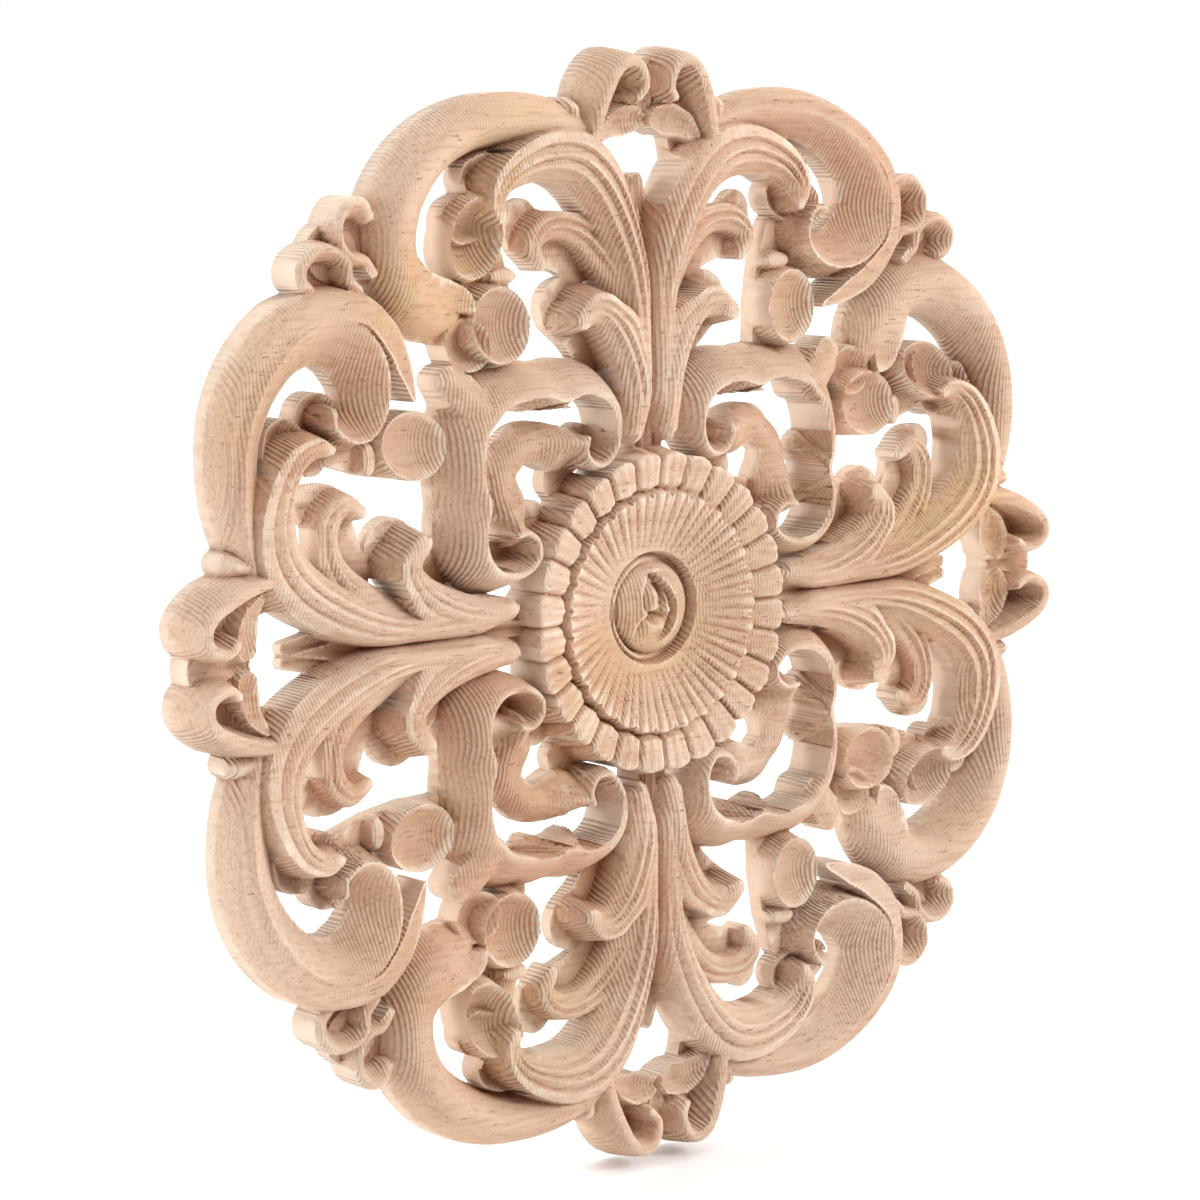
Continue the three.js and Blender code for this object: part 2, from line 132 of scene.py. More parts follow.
EIGHTH = (
    Band(
        "low lobe of the axis leaf",
        ((32.6, 4.2), (37, 3.6), (44, 4.8), (50, 7.6), (53.6, 11.2), (54.2, 14.6), (52.4, 17.2)),
        ((1.6, 2.2), (2.8, 3.0), (3.2, 4.0), (3.2, 3.8), (2.8, 3.0), (2.5, 2.2), (1.5, 1.4)),
        ((60, 76, 60), (66, 88, 60), (64, 92, 64), (62, 92, 78), (64, 93, 86), (78, 92, 84), (88, 92, 84)),
        2.2,
        ((0.5, 1.4, 8), (0.02, 1.4, 8), (-0.48, 1.4, 6)),
        (4.0, 0.10),
    ),
    Band(
        "middle curl of the axis leaf",
        ((52, 3.2), (60, 7.0), (66.2, 12), (68.6, 17), (68.4, 21.5), (65.6, 24.4), (62.2, 23.0)),
        ((2.5, 2.5), (3.2, 3.2), (3.0, 3.0), (2.4, 2.4), (2.4, 2.4), (2.0, 2.0), (1.2, 1.2)),
        ((45, 70, 50), (40, 62, 50), (36, 56, 46), (38, 56, 46), (40, 58, 44), (42, 58, 44), (46, 54, 46)),
        2.0,
        ((0.3, 1.4, 8), (-0.35, 1.4, 8)),
    ),
    Band(
        "large outward lobe of the axis leaf",
        (
            (42, 2.2), (52, 3.0), (60, 4.2), (68, 7.2), (75, 11.4), (79.4, 16.4),
            (80.6, 22), (79.4, 27.5), (76.8, 32.2), (73.4, 34.4), (70.6, 34.2),
        ),
        (
            (2.2, 2.2), (2.6, 2.8), (3.2, 3.8), (4.0, 4.6), (4.4, 5.2), (4.6, 5.0),
            (4.4, 4.4), (3.4, 3.8), (2.4, 3.0), (1.6, 2.0), (0.9, 1.0),
        ),
        (
            (66, 80, 60), (58, 86, 58), (54, 90, 58), (52, 92, 62), (52, 94, 72), (54, 94, 84),
            (56, 93, 86), (58, 92, 86), (66, 90, 84), (78, 88, 82), (80, 84, 80),
        ),
        2.2,
        ((0.55, 1.8, 9), (0.06, 2.0, 10), (-0.46, 1.8, 8)),
    ),
    Band(
        "valley along the axis",
        ((26, 1.0), (36, 1.0), (46, 1.2), (56, 1.4), (66, 1.4), (76, 1.2)),
        ((2.2, 2.2), (2.4, 2.4), (2.4, 2.4), (2.6, 2.6), (3.2, 3.2), (1.2, 1.2)),
        ((50, 40, 50), (52, 38, 50), (52, 36, 50), (46, 32, 46), (34, 24, 34), (20, 14, 20)),
    ),
    Band(
        "skirt of the low lobe",
        ((46, 10), (51, 13), (54.5, 16.5), (57, 14)),
        ((3.5, 3.5), (4.5, 4.5), (4.8, 4.8), (3.0, 3.0)),
        ((20, 20, 20), (26, 26, 26), (22, 22, 22), (18, 18, 18)),
    ),
    Band(
        "skirt of the middle curl",
        ((62, 12), (65.5, 18), (67, 23), (70, 24.5)),
        ((3.5, 3.5), (4.5, 4.5), (4.6, 4.6), (3.5, 3.5)),
        ((18, 18, 18), (20, 20, 20), (16, 16, 16), (14, 14, 14)),
    ),
    Band(
        "lobe by the leaf",
        ((72.0, 33.0), (71.2, 36.4), (70.3, 39.4)),
        ((3.4, 3.4), (4.2, 4.2), (4.0, 4.0)),
        ((44, 26, 40), (48, 22, 40), (44, 18, 36)),
    ),
    Band(
        "lobe by the rim",
        ((77.8, 31.0), (77.6, 34.0), (77.2, 36.0)),
        ((3.2, 3.2), (3.9, 3.9), (3.6, 3.6)),
        ((50, 30, 46), (54, 26, 46), (50, 22, 42)),
    ),
    Bowl("bowl lobe", (52.4, 33.4), (6.6, 5.8), 8, 66, 36, (-2, -4), 2.2),
    Bowl("tooth", (60.6, 31.6), (1.4, 2.6), 0, 50, -6),
    Band(
        "low web",
        ((44, 30.5), (52, 31), (59, 31.8), (66, 33.6)),
        ((3.2, 3.2), (3.4, 3.4), (3.2, 3.2), (3.0, 3.0)),
        ((30, 30, 30), (28, 28, 28), (28, 28, 28), (30, 30, 30)),
    ),
    Band(
        "inner C-scroll",
        (
            (32, 16.8), (29.8, 17.0), (27.6, 15.4), (27.2, 12.6), (29.4, 10.4), (33.2, 9.6), (37, 10.6),
            (39.6, 13.6), (40.2, 18), (38.9, 22.4), (40.2, 26.5), (40.2, 31), (39.0, 34.8), (36.9, 36.9),
        ),
        (
            (0.5, 0.6), (0.7, 0.8), (0.7, 0.9), (0.7, 1.0), (0.7, 1.2), (0.7, 2.4), (0.7, 4.0),
            (0.7, 5.0), (0.7, 5.6), (0.7, 6.6), (0.7, 5.6), (0.7, 5.4), (0.7, 6.4), (0.7, 7.4),
        ),
        (
            (88, 91, 80), (84, 88, 70), (82, 86, 66), (82, 86, 60), (84, 88, 56), (86, 91, 40), (90, 94, 34),
            (92, 97, 30), (93, 98, 26), (94, 99, 24), (92, 97, 24), (90, 95, 24), (88, 93, 26), (86, 92, 28),
        ),
        1.5,
    ),
    Band(
        "corner spur",
        ((38, 38), (41.5, 41.5), (44.2, 43.4)),
        ((3.0, 3.0), (3.2, 3.2), (2.0, 2.0)),
        ((70, 84, 70), (60, 74, 60), (52, 66, 52)),
        1.6,
    ),
    Bowl("floor of the hook", (30.6, 13.2), (3.6, 3.2), 0, 22, 4),
    Band(
        "crescent scroll",
        ((31.4, 17.4), (31.6, 20.4), (32.0, 23.6), (31.2, 27.0), (29.0, 29.0)),
        ((3.0, 1.2), (5.2, 2.8), (4.2, 3.2), (3.0, 3.6), (2.4, 3.8)),
        ((50, 88, 70), (38, 68, 46), (36, 50, 24), (34, 45, 20), (34, 43, 18)),
        1.7,
    ),
    Band(
        "floor of the crescent scroll",
        ((21, 15), (24.4, 18.4)),
        ((3.6, 3.6), (3.2, 3.2)),
        ((26, 26, 26), (26, 26, 26)),
    ),
    Band(
        "small outer curl",
        (
            (62.5, 59.6), (64.6, 61.6), (65.2, 64.4), (67.6, 66.4),
            (71.2, 66.6), (73.8, 64.4), (73.8, 61.6), (71.8, 60.0),
        ),
        ((0.8, 1.0), (0.9, 1.0), (0.9, 1.2), (0.9, 1.6), (1.0, 2.4), (1.2, 2.8), (1.2, 2.4), (1.2, 1.2)),
        (
            (60, 64, 60), (62, 68, 62), (64, 72, 60), (64, 72, 50),
            (62, 72, 40), (60, 70, 36), (58, 66, 40), (56, 62, 50),
        ),
        1.6,
    ),
    Bowl("floor of the curl", (69.6, 62.8), (5.2, 4.4), 10, 38, 8),
    Bowl("base of the curls", (66, 66), (5, 5), 45, 34, 0),
    Band(
        "looped ribbon",
        (
            (80, 14.4), (84, 13.8), (88, 12.8), (92, 11.2), (95.2, 9.4),
            (96.8, 7.0), (96.3, 4.6), (94.4, 3.2), (92.0, 2.8), (90.2, 4.0),
        ),
        (
            (1.4, 1.2), (1.6, 1.3), (2.4, 1.3), (2.8, 1.3), (2.3, 1.2),
            (2.2, 1.2), (2.2, 1.1), (1.8, 1.1), (1.5, 1.0), (1.0, 0.9),
        ),
        (
            (60, 80, 76), (50, 86, 82), (34, 90, 86), (22, 94, 90), (20, 97, 94),
            (18, 98, 95), (20, 98, 94), (40, 97, 92), (46, 94, 90), (70, 90, 86),
        ),
        2.3,
    ),
    Band(
        "floor of the loop",
        ((86.4, 10.6), (89.4, 8.8), (92.6, 7.2)),
        ((2.0, 2.0), (4.0, 4.0), (5.0, 5.0)),
        ((58, 56, 58), (44, 40, 44), (38, 32, 38)),
    ),
    Band(
        "concave inner leaf",
        ((83.4, 10.8), (85.4, 8.0), (86.2, 5.2), (86.6, 3.0)),
        ((1.0, 1.0), (2.2, 2.0), (2.8, 2.6), (2.2, 2.2)),
        ((68, 60, 56), (70, 46, 50), (70, 40, 48), (64, 46, 56)),
        2.2,
    ),
    Band(
        "side leaf",
        ((81, 14.8), (85, 15.8), (88.4, 16.6)),
        ((2.0, 2.0), (2.4, 2.4), (2.2, 2.2)),
        ((44, 58, 44), (40, 66, 40), (36, 70, 36)),
    ),
    Band(
        "valley between the loops",
        ((87.0, 0.6), (91, 0.6), (94.4, 0.6)),
        ((1.6, 1.6), (2.6, 2.6), (2.9, 2.9)),
        ((50, 40, 50), (54, 42, 54), (46, 40, 46)),
    ),
    Band(
        "neck of the axis end",
        ((79, 11.8), (84, 10.6), (89, 9)),
        ((3.4, 3.4), (3.4, 3.4), (3.0, 3.0)),
        ((30, 30, 30), (30, 30, 30), (30, 30, 30)),
    ),
)

SPOON_SCROLL = (
    Band(
        "outer strip",
        (
            (52.3, 41.3), (54.4, 46.6), (57.6, 52), (62.8, 56.4), (70, 57.8), (77, 56.0),
            (83, 50.8), (87, 44.4), (89, 38), (89.4, 31), (88, 23), (84.5, 15),
        ),
        (
            (0.6, 0.6), (1.9, 2.0), (2.7, 2.6), (2.8, 2.4), (2.2, 2.3), (2.4, 2.3),
            (2.4, 2.3), (2.4, 2.2), (2.2, 2.2), (2.1, 2.2), (2.2, 2.2), (2.2, 2.2),
        ),
        (
            (64, 68, 70), (64, 72, 78), (66, 80, 88), (68, 87, 95), (66, 90, 96), (52, 86, 93),
            (36, 80, 87), (26, 74, 81), (22, 71, 78), (22, 70, 76), (22, 62, 70), (22, 50, 56),
        ),
        1.9,
    ),
    Band(
        "hollow and spoon",
        (
            (85, 14), (87, 22), (87.6, 30), (86.6, 38), (83.4, 45.6), (77.8, 52), (70.5, 55.4), (64.4, 54),
            (60.4, 49.6), (58.9, 44), (60.4, 38.4), (63.6, 35.4), (67.0, 35.4), (69.8, 37.6), (69.6, 40.2),
        ),
        (
            (4.6, 1), (4.8, 1), (4.8, 1), (5.0, 1), (5.6, 1), (6.2, 1), (7.4, 1), (8.2, 1),
            (7.6, 1), (6.4, 0.8), (5.4, 0.7), (4.4, 0.7), (3.4, 0.7), (2.0, 0.7), (0.9, 0.7),
        ),
        (
            (50, 70, 60), (48, 76, 66), (46, 80, 70), (44, 84, 74), (42, 88, 78),
            (40, 92, 84), (38, 94, 88), (34, 92, 88), (32, 90, 86), (32, 88, 84),
            (34, 90, 84), (38, 92, 84), (42, 92, 84), (56, 90, 82), (70, 86, 80),
        ),
        1.25,
    ),
)

CROWNED_SCROLL = (
    Band(
        "crowned band",
        (
            (84, 14), (86.6, 22), (87.4, 30), (86.4, 38), (83.2, 45.6), (77.8, 51.6),
            (71, 55.0), (64, 55.0), (58.8, 51.6), (56.2, 46.8), (55.4, 43.6),
        ),
        (
            (3.5, 4), (4.4, 4.4), (5.2, 4.2), (5.6, 4.2), (6.2, 4.4), (6.8, 4.6),
            (6.8, 5.0), (5.6, 5.0), (4.8, 5.4), (5.0, 6.0), (4.6, 5.4),
        ),
        (
            (60, 72, 30), (40, 80, 30), (24, 86, 30), (14, 88, 30), (12, 88, 30), (18, 88, 30),
            (28, 88, 30), (48, 86, 28), (66, 80, 24), (72, 66, 20), (68, 56, 20),
        ),
        2.2,
    ),
    Bowl("boat scoop", (67.4, 38.8), (7.2, 4.9), -24, 72, 44, (-2, -6), 2.2),
    Bowl("skirt of the scoop", (65.0, 38.0), (8.6, 5.0), -8, 26, 0),
    Bowl("cup by the band end", (49.4, 39.6), (4.6, 4.4), 20, 54, 28, (-4, -4), 2.2),
    Band(
        "stem of the scoop",
        ((50.5, 38), (52, 42), (53, 45)),
        ((3.4, 3.4), (3.0, 3.0), (3.0, 3.0)),
        ((24, 24, 24), (26, 26, 26), (28, 28, 28)),
    ),
)

def smooth_path(points: tuple, per_span: int) -> np.ndarray:
    """Return points along a uniform Catmull-Rom curve through the given ones.

    Args:
        points: rows of x and z.
        per_span: samples in each span.

    Returns:
        rows of x and z.
    """
    knots = np.asarray(points, dtype=float)
    padded = np.vstack([2 * knots[0] - knots[1], knots, 2 * knots[-1] - knots[-2]])
    t = np.linspace(0.0, 1.0, per_span, endpoint=False)[:, None]
    spans = []
    for a, b, c, d in zip(padded[:-3], padded[1:-2], padded[2:-1], padded[3:]):
        spans.append(
            0.5 * (2 * b + (c - a) * t + (2 * a - 5 * b + 4 * c - d) * t**2 + (3 * b - 3 * c + d - a) * t**3)
        )
    return np.vstack([*spans, knots[-1:]])


def spread(rows: tuple, count: int) -> np.ndarray:
    """Return key rows spread evenly over count samples.

    Args:
        rows: one row for each key.
        count: how many samples to return.

    Returns:
        one row for each sample.
    """
    keys = np.asarray(rows, dtype=float)
    place = np.linspace(0, len(keys) - 1, count)
    return np.stack([np.interp(place, np.arange(len(keys)), column) for column in keys.T], axis=-1)


def smooth_max(a: np.ndarray, b: np.ndarray, blend: float) -> np.ndarray:
    """Return the larger of two fields, with a small parabolic fillet where they cross.

    Args:
        a: first field.
        b: second field.
        blend: width of the fillet, in the fields' unit.

    Returns:
        the joined field.
    """
    near = np.clip(1.0 - np.abs(a - b) / blend, 0.0, None)
    return np.maximum(a, b) + near**2 * (0.25 * blend)


class Field:
    """Height and inside fields at a set of points in percent of the outer radius.

    Attributes:
        height: top surface in percent of the thickness.
        edge: height of the nearest shape's edge, for points outside it.
        inside: distance inside the outline in percent of the outer radius, negative outside.
    """

    # How far outside its outline a shape is still worked out.
    REACH = 2.2
    # Samples in each span of a band's path, and how many of them its flutes take to fade in and out.
    PER_SPAN = 8
    FADE = 12.0

    def __init__(self, x: np.ndarray, z: np.ndarray) -> None:
        """Start with empty fields.

        Args:
            x: first plan coordinate of each point.
            z: second plan coordinate of each point.
        """
        self.x = x
        self.z = z
        self.height = np.full(x.shape, OUTSIDE)
        self.edge = np.full(x.shape, OUTSIDE)
        self.inside = np.full(x.shape, OUTSIDE)

    def add(self, shape: "Band | Bowl") -> None:
        """Raise the fields by one shape.

        Args:
            shape: a band or a bowl.
        """
        LOG.debug("carving %s", shape.name)
        if isinstance(shape, Band):
            self._add_band(shape)
        else:
            self._add_bowl(shape)

    def _merge(self, chosen: np.ndarray, height: np.ndarray, inside: np.ndarray) -> None:
        """Join one shape to the fields, with a steep wall outside its outline.

        Args:
            chosen: which points the shape is worked out at.
            height: its height there.
            inside: distance inside its outline there.
        """
        beyond = np.clip(-inside, 0.0, None)
        self.edge[chosen] = np.where(inside > self.inside[chosen], height, self.edge[chosen])
        self.height[chosen] = smooth_max(self.height[chosen], height - WALL_FALL * beyond, BLEND)
        self.inside[chosen] = smooth_max(self.inside[chosen], inside, CORNER_BLEND)

    def _add_band(self, band: Band) -> None:
        """Raise the fields by a band.

        Each point takes the segment it lies nearest to, measured in half-widths. Its height falls from the
        crest to the edge by a power of that share, and each flute takes a lopsided V out of it.

        Args:
            band: the band.
        """
        line = smooth_path(band.path, self.PER_SPAN)
        count = len(line)
        half = spread(band.half, count)
        swing = np.cos(2 * np.pi * band.waves[0] * np.linspace(0, 1, count))
        half[:, 1] *= 1 + band.waves[1] * swing
        top = spread(band.top, count)
        margin = half.max() + self.REACH
        low = line.min(axis=0) - margin
        high = line.max(axis=0) + margin
        chosen = (self.x > low[0]) & (self.x < high[0]) & (self.z > low[1]) & (self.z < high[1])
        x = self.x[chosen]
        z = self.z[chosen]
        share = np.full(x.shape, 1.0e9)
        along = np.zeros(x.shape)
        side = np.ones(x.shape)
        width = np.ones(x.shape)
        for i in range(count - 1):
            start = line[i]
            step = line[i + 1] - start
            t = ((x - start[0]) * step[0] + (z - start[1]) * step[1]) / (step @ step)
            t = np.clip(t, 0.0, 1.0)
            away_x = x - start[0] - t * step[0]
            away_z = z - start[1] - t * step[1]
            left = step[0] * away_z - step[1] * away_x >= 0
            ends = np.where(left, half[i, 0], half[i, 1])
            w = ends + (np.where(left, half[i + 1, 0], half[i + 1, 1]) - ends) * t
            s = np.hypot(away_x, away_z) / w
            better = s < share
            share = np.where(better, s, share)
            along = np.where(better, i + t, along)
            side = np.where(better, np.where(left, 1.0, -1.0), side)
            width = np.where(better, w, width)
        index = np.arange(count)
        edge = np.where(side > 0, np.interp(along, index, top[:, 0]), np.interp(along, index, top[:, 2]))
        crest = np.interp(along, index, top[:, 1])
        held = np.clip(share, 0.0, 1.0)
        height = crest + (edge - crest) * held**band.power
        fade = np.clip(np.minimum(along - 2.0, count - 3.0 - along) / self.FADE, 0.0, 1.0)
        for place, reach, depth in band.flutes:
            gap = (side * held - place) * width
            fall = np.where(gap > 0, gap / reach, -gap / STEEP_SIDE)
            height -= depth * fade * np.clip(1.0 - fall, 0.0, 1.0)
        self._merge(chosen, height, (1.0 - share) * width)

    def _add_bowl(self, bowl: Bowl) -> None:
        """Raise the fields by a bowl: a tilted rim with a floor that is a power of the distance.

        Args:
            bowl: the bowl.
        """
        turned = math.radians(bowl.angle)
        margin = max(bowl.radii) + self.REACH
        chosen = np.hypot(self.x - bowl.centre[0], self.z - bowl.centre[1]) < margin
        dx = self.x[chosen] - bowl.centre[0]
        dz = self.z[chosen] - bowl.centre[1]
        u = (dx * math.cos(turned) + dz * math.sin(turned)) / bowl.radii[0]
        v = (dz * math.cos(turned) - dx * math.sin(turned)) / bowl.radii[1]
        share = np.hypot(u, v)
        held = np.clip(share, 0.0, 1.0)
        away = np.maximum(share, 1.0)
        tilt = (bowl.tilt[0] * u + bowl.tilt[1] * v) / away
        height = bowl.rim + tilt - bowl.dish * (1.0 - held**bowl.power)
        self._merge(chosen, height, (1.0 - share) * min(bowl.radii))


@dataclass
class Layers:
    """The three fields of a Field, to be joined with those of other parts.

    Attributes:
        height: top surface in percent of the thickness.
        edge: height of the nearest shape's edge.
        inside: distance inside the outline in percent of the outer radius.
    """

    height: np.ndarray
    edge: np.ndarray
    inside: np.ndarray

    def joined(self, other: "Layers") -> "Layers":
        """Return the fields of both parts together.

        Args:
            other: the other part's fields on the same points.

        Returns:
            the joined fields.
        """
        return Layers(
            smooth_max(self.height, other.height, BLEND),
            np.where(other.inside > self.inside, other.edge, self.edge),
            smooth_max(self.inside, other.inside, CORNER_BLEND),
        )

    def swapped(self) -> "Layers":
        """Return the fields mirrored in the diagonal."""
        return Layers(self.height.T, self.edge.T, self.inside.T)

    def folded(self, margin: int) -> "Layers":
        """Return the quarter with what reaches over its two axes folded back.

        Args:
            margin: how many samples lie below zero.

        Returns:
            the fields from zero on along both axes.
        """
        quarter = self
        for _ in range(2):
            over = quarter.cut(slice(margin, None, -1) if margin else slice(0, 1))
            kept = quarter.cut(slice(margin, None))
            near = kept.cut(slice(0, margin + 1)).joined(over)
            quarter = near.followed_by(kept.cut(slice(margin + 1, None))).swapped()
        return quarter

    def cut(self, rows: slice) -> "Layers":
        """Return the given rows of the fields."""
        return Layers(self.height[rows], self.edge[rows], self.inside[rows])

    def followed_by(self, other: "Layers") -> "Layers":
        """Return the fields with more rows after them.

        Args:
            other: the rows that follow.

        Returns:
            all the rows.
        """
        return Layers(
            np.concatenate([self.height, other.height]),
            np.concatenate([self.edge, other.edge]),
            np.concatenate([self.inside, other.inside]),
        )


@dataclass(frozen=True)
class Fold:
    """One crescent fold of the bud.

    Attributes:
        middle: its middle, in percent of the outer radius.
        reach: its radius.
        facing: the way it faces, in radians.
        lip: how high its lip is, in percent of the thickness.
    """

    middle: tuple
    reach: float
    facing: float
    lip: float


@dataclass(frozen=True)
class Rosette:
    """The rosette in the middle: a ring of petals, a fluted dish on it and a folded bud in its hollow.

    Radii are in percent of the outer radius, heights and depths in percent of the thickness.

    Attributes:
        petals: how many petals stand in the ring.
        outer: radius at which the petals' rounded ends begin.
        petal_round: how far those ends reach beyond it.
        ring_inner: inner radius of the ring.
        ring_low: height of the ring at the dish.
        ring_high: height of the ring at its outer edge.
        crown: how much higher a petal is along its middle.
        crease: depth of the crease between two petals.
        ribs: depth of the two fine ribs on each petal.
        lip: how far the outer edge is rounded over.
        groove: radius of the notched groove between dish and ring.
        groove_half: half its width.
        groove_depth: its depth.
        dish: radius of the dish.
        dish_round: how far the scallops on its edge reach beyond it.
        dish_low: height of the dish at the hollow.
        dish_high: height of the dish at its edge.
        flute: depth of the dish's flutes.
        scallop: depth of the creases between its scallops.
        shelf: lowest height between dish and ring.
        hollow: radius of the hollow.
        floor: height of its floor.
        brim: height of the crescent brim in the hollow, above its floor.
        bud_middle: middle of the bud.
        bud_radius: its radius.
        bud_rise: how far it rises above the floor.
        fold_depth: depth of its folds.
        folds: the folds.
    """

    petals: int = 28
    outer: float = 27.1
    petal_round: float = 1.4
    ring_inner: float = 21.2
    ring_low: float = 76.0
    ring_high: float = 87.0
    crown: float = 5.0
    crease: float = 6.0
    ribs: float = 1.2
    lip: float = 5.0
    groove: float = 22.0
    groove_half: float = 0.75
    groove_depth: float = 22.0
    dish: float = 20.5
    dish_round: float = 0.9
    dish_low: float = 52.0
    dish_high: float = 89.0
    flute: float = 7.5
    scallop: float = 4.0
    shelf: float = 55.0
    hollow: float = 9.6
    floor: float = 33.0
    brim: float = 19.0
    bud_middle: tuple = (1.2, 0.4)
    bud_radius: float = 8.4
    bud_rise: float = 32.0
    fold_depth: float = 17.0
    folds: tuple = (
        Fold((2.6, 2.0), 4.6, 2.9, 4.0),
        Fold((-1.0, 3.0), 3.6, 0.2, 4.0),
        Fold((0.4, -4.0), 3.6, 1.9, 4.0),
        Fold((-0.5, -0.4), 5.4, 0.1, 3.0),
    )

    def layers(self, x: np.ndarray, z: np.ndarray) -> Layers:
        """Return the rosette's fields.

        The petals' rounded ends are half ellipses round the ring, the flutes are parabolas across the dish,
        and every wall falls at the cut's slope.

        Args:
            x: first plan coordinate.
            z: second plan coordinate.

        Returns:
            the height, edge and inside fields.
        """
        r = np.hypot(x, z)
        turn = np.arctan2(z, x)
        around = turn / (2 * np.pi) * self.petals
        petal = 2 * np.abs(around + 0.5 - np.round(around + 0.5))
        scallop = 2 * np.abs(around - np.round(around))
        flute = 2 * np.abs(2 * around - np.round(2 * around))
        outer = self.outer + self.petal_round * np.sqrt(np.clip(1 - 0.98 * petal**2, 0, 1))
        rise = np.clip((r - self.dish) / (self.outer - self.dish), 0, 1)
        ring = self.ring_low + (self.ring_high - self.ring_low) * rise
        ring += self.crown * (1 - petal**2) - self.crease * petal**10 + self.ribs * np.cos(3 * np.pi * petal)
        ring -= self.lip * np.clip((r - outer + 0.7) / 0.7, 0, 1) ** 2
        groove = self.groove + 0.25 * np.cos(2 * np.pi * around)
        notch = np.clip(1.0 - np.abs(r - groove) / self.groove_half, 0, 1) * np.clip(0.5 - x / 26, 0.12, 1)
        ring -= self.groove_depth * notch
        ring -= WALL_FALL * np.clip(self.ring_inner - r, 0, None)
        disc_edge = self.dish + self.dish_round * np.sqrt(np.clip(1 - 0.97 * scallop**2, 0, 1))
        share = np.clip((r - self.hollow - 0.8) / (self.dish - self.hollow - 0.5), 0, 1)
        disc = self.dish_low + (self.dish_high - self.dish_low) * share**0.8
        disc -= np.clip(0.35 + share, 0, 1) * (self.flute * flute**2 + self.scallop * scallop**6)
        disc -= WALL_FALL * np.clip(r - disc_edge, 0, None)
        height = np.maximum(np.maximum(ring, disc), self.shelf)
        wall = self.floor + WALL_FALL * np.clip(r - self.hollow - 0.8 * np.cos(turn - 0.6), 0, None)
        height = np.minimum(height, wall)
        height = np.where(r < 11.0, np.maximum(height, self._bud(x, z, r, turn)), height)
        inside = outer - r
        return Layers(height - WALL_FALL * np.clip(-inside, 0, None), height, inside)

    def _bud(self, x: np.ndarray, z: np.ndarray, r: np.ndarray, turn: np.ndarray) -> np.ndarray:
        """Return the height of the folded bud: half an ellipsoid, cut by crescents with raised lips.

        Args:
            x: first plan coordinate.
            z: second plan coordinate.
            r: distance from the middle.
            turn: angle round the middle.

        Returns:
            the height at each point.
        """
        off = ((x - self.bud_middle[0]) ** 2 + (z - self.bud_middle[1]) ** 2) / self.bud_radius**2
        height = self.floor + self.bud_rise * np.sqrt(np.clip(1 - off, 0, 1))
        for fold in self.folds:
            across, up = x - fold.middle[0], z - fold.middle[1]
            away = np.hypot(across, up) - fold.reach
            faced = (across * math.cos(fold.facing) + up * math.sin(fold.facing)) / fold.reach
            window = np.clip(1.2 * faced, 0, 1)
            cut = np.clip(1 - np.where(away < 0, -away / 2.2, away / 0.5), 0, 1)
            lip = np.clip(1 - np.abs(away - 1.1) / 0.8, 0, 1)
            height = height + window * (fold.lip * lip - self.fold_depth * cut)
        brim = np.clip(1 - ((r - 8.8 - 0.4 * np.sin(turn + 1.0)) / 0.9) ** 2, 0, 1)
        return np.maximum(height, self.floor + self.brim * brim * np.clip(0.5 - x / 10, 0, 1))


def layers_of(x: np.ndarray, z: np.ndarray, shapes: tuple) -> Layers:
    """Return the fields of some shapes at the given points.

    Args:
        x: first plan coordinate.
        z: second plan coordinate.
        shapes: bands and bowls.

    Returns:
        the joined fields of all the shapes.
    """
    field = Field(x, z)
    for shape in shapes:
        field.add(shape)
    return Layers(field.height, field.edge, field.inside)


# Corner k of a cell is at (0, 0), (1, 0), (1, 1), (0, 1), and point 4 + k is on the side from corner k to
# corner k + 1. For each set of inside corners, the polygons that are inside.
CELL_POLYGONS = {
    1: ((0, 4, 7),),
    2: ((1, 5, 4),),
    3: ((0, 1, 5, 7),),
    4: ((2, 6, 5),),
    5: ((0, 4, 7), (2, 6, 5)),
    6: ((1, 2, 6, 4),),
    7: ((0, 1, 2, 6, 7),),
    8: ((3, 7, 6),),
    9: ((0, 4, 6, 3),),
    10: ((1, 5, 4), (3, 7, 6)),
    11: ((0, 1, 5, 6, 3),),
    12: ((2, 3, 7, 5),),
    13: ((0, 4, 5, 2, 3),),
    14: ((1, 2, 3, 7, 4),),
    15: ((0, 1, 2, 3),),
}


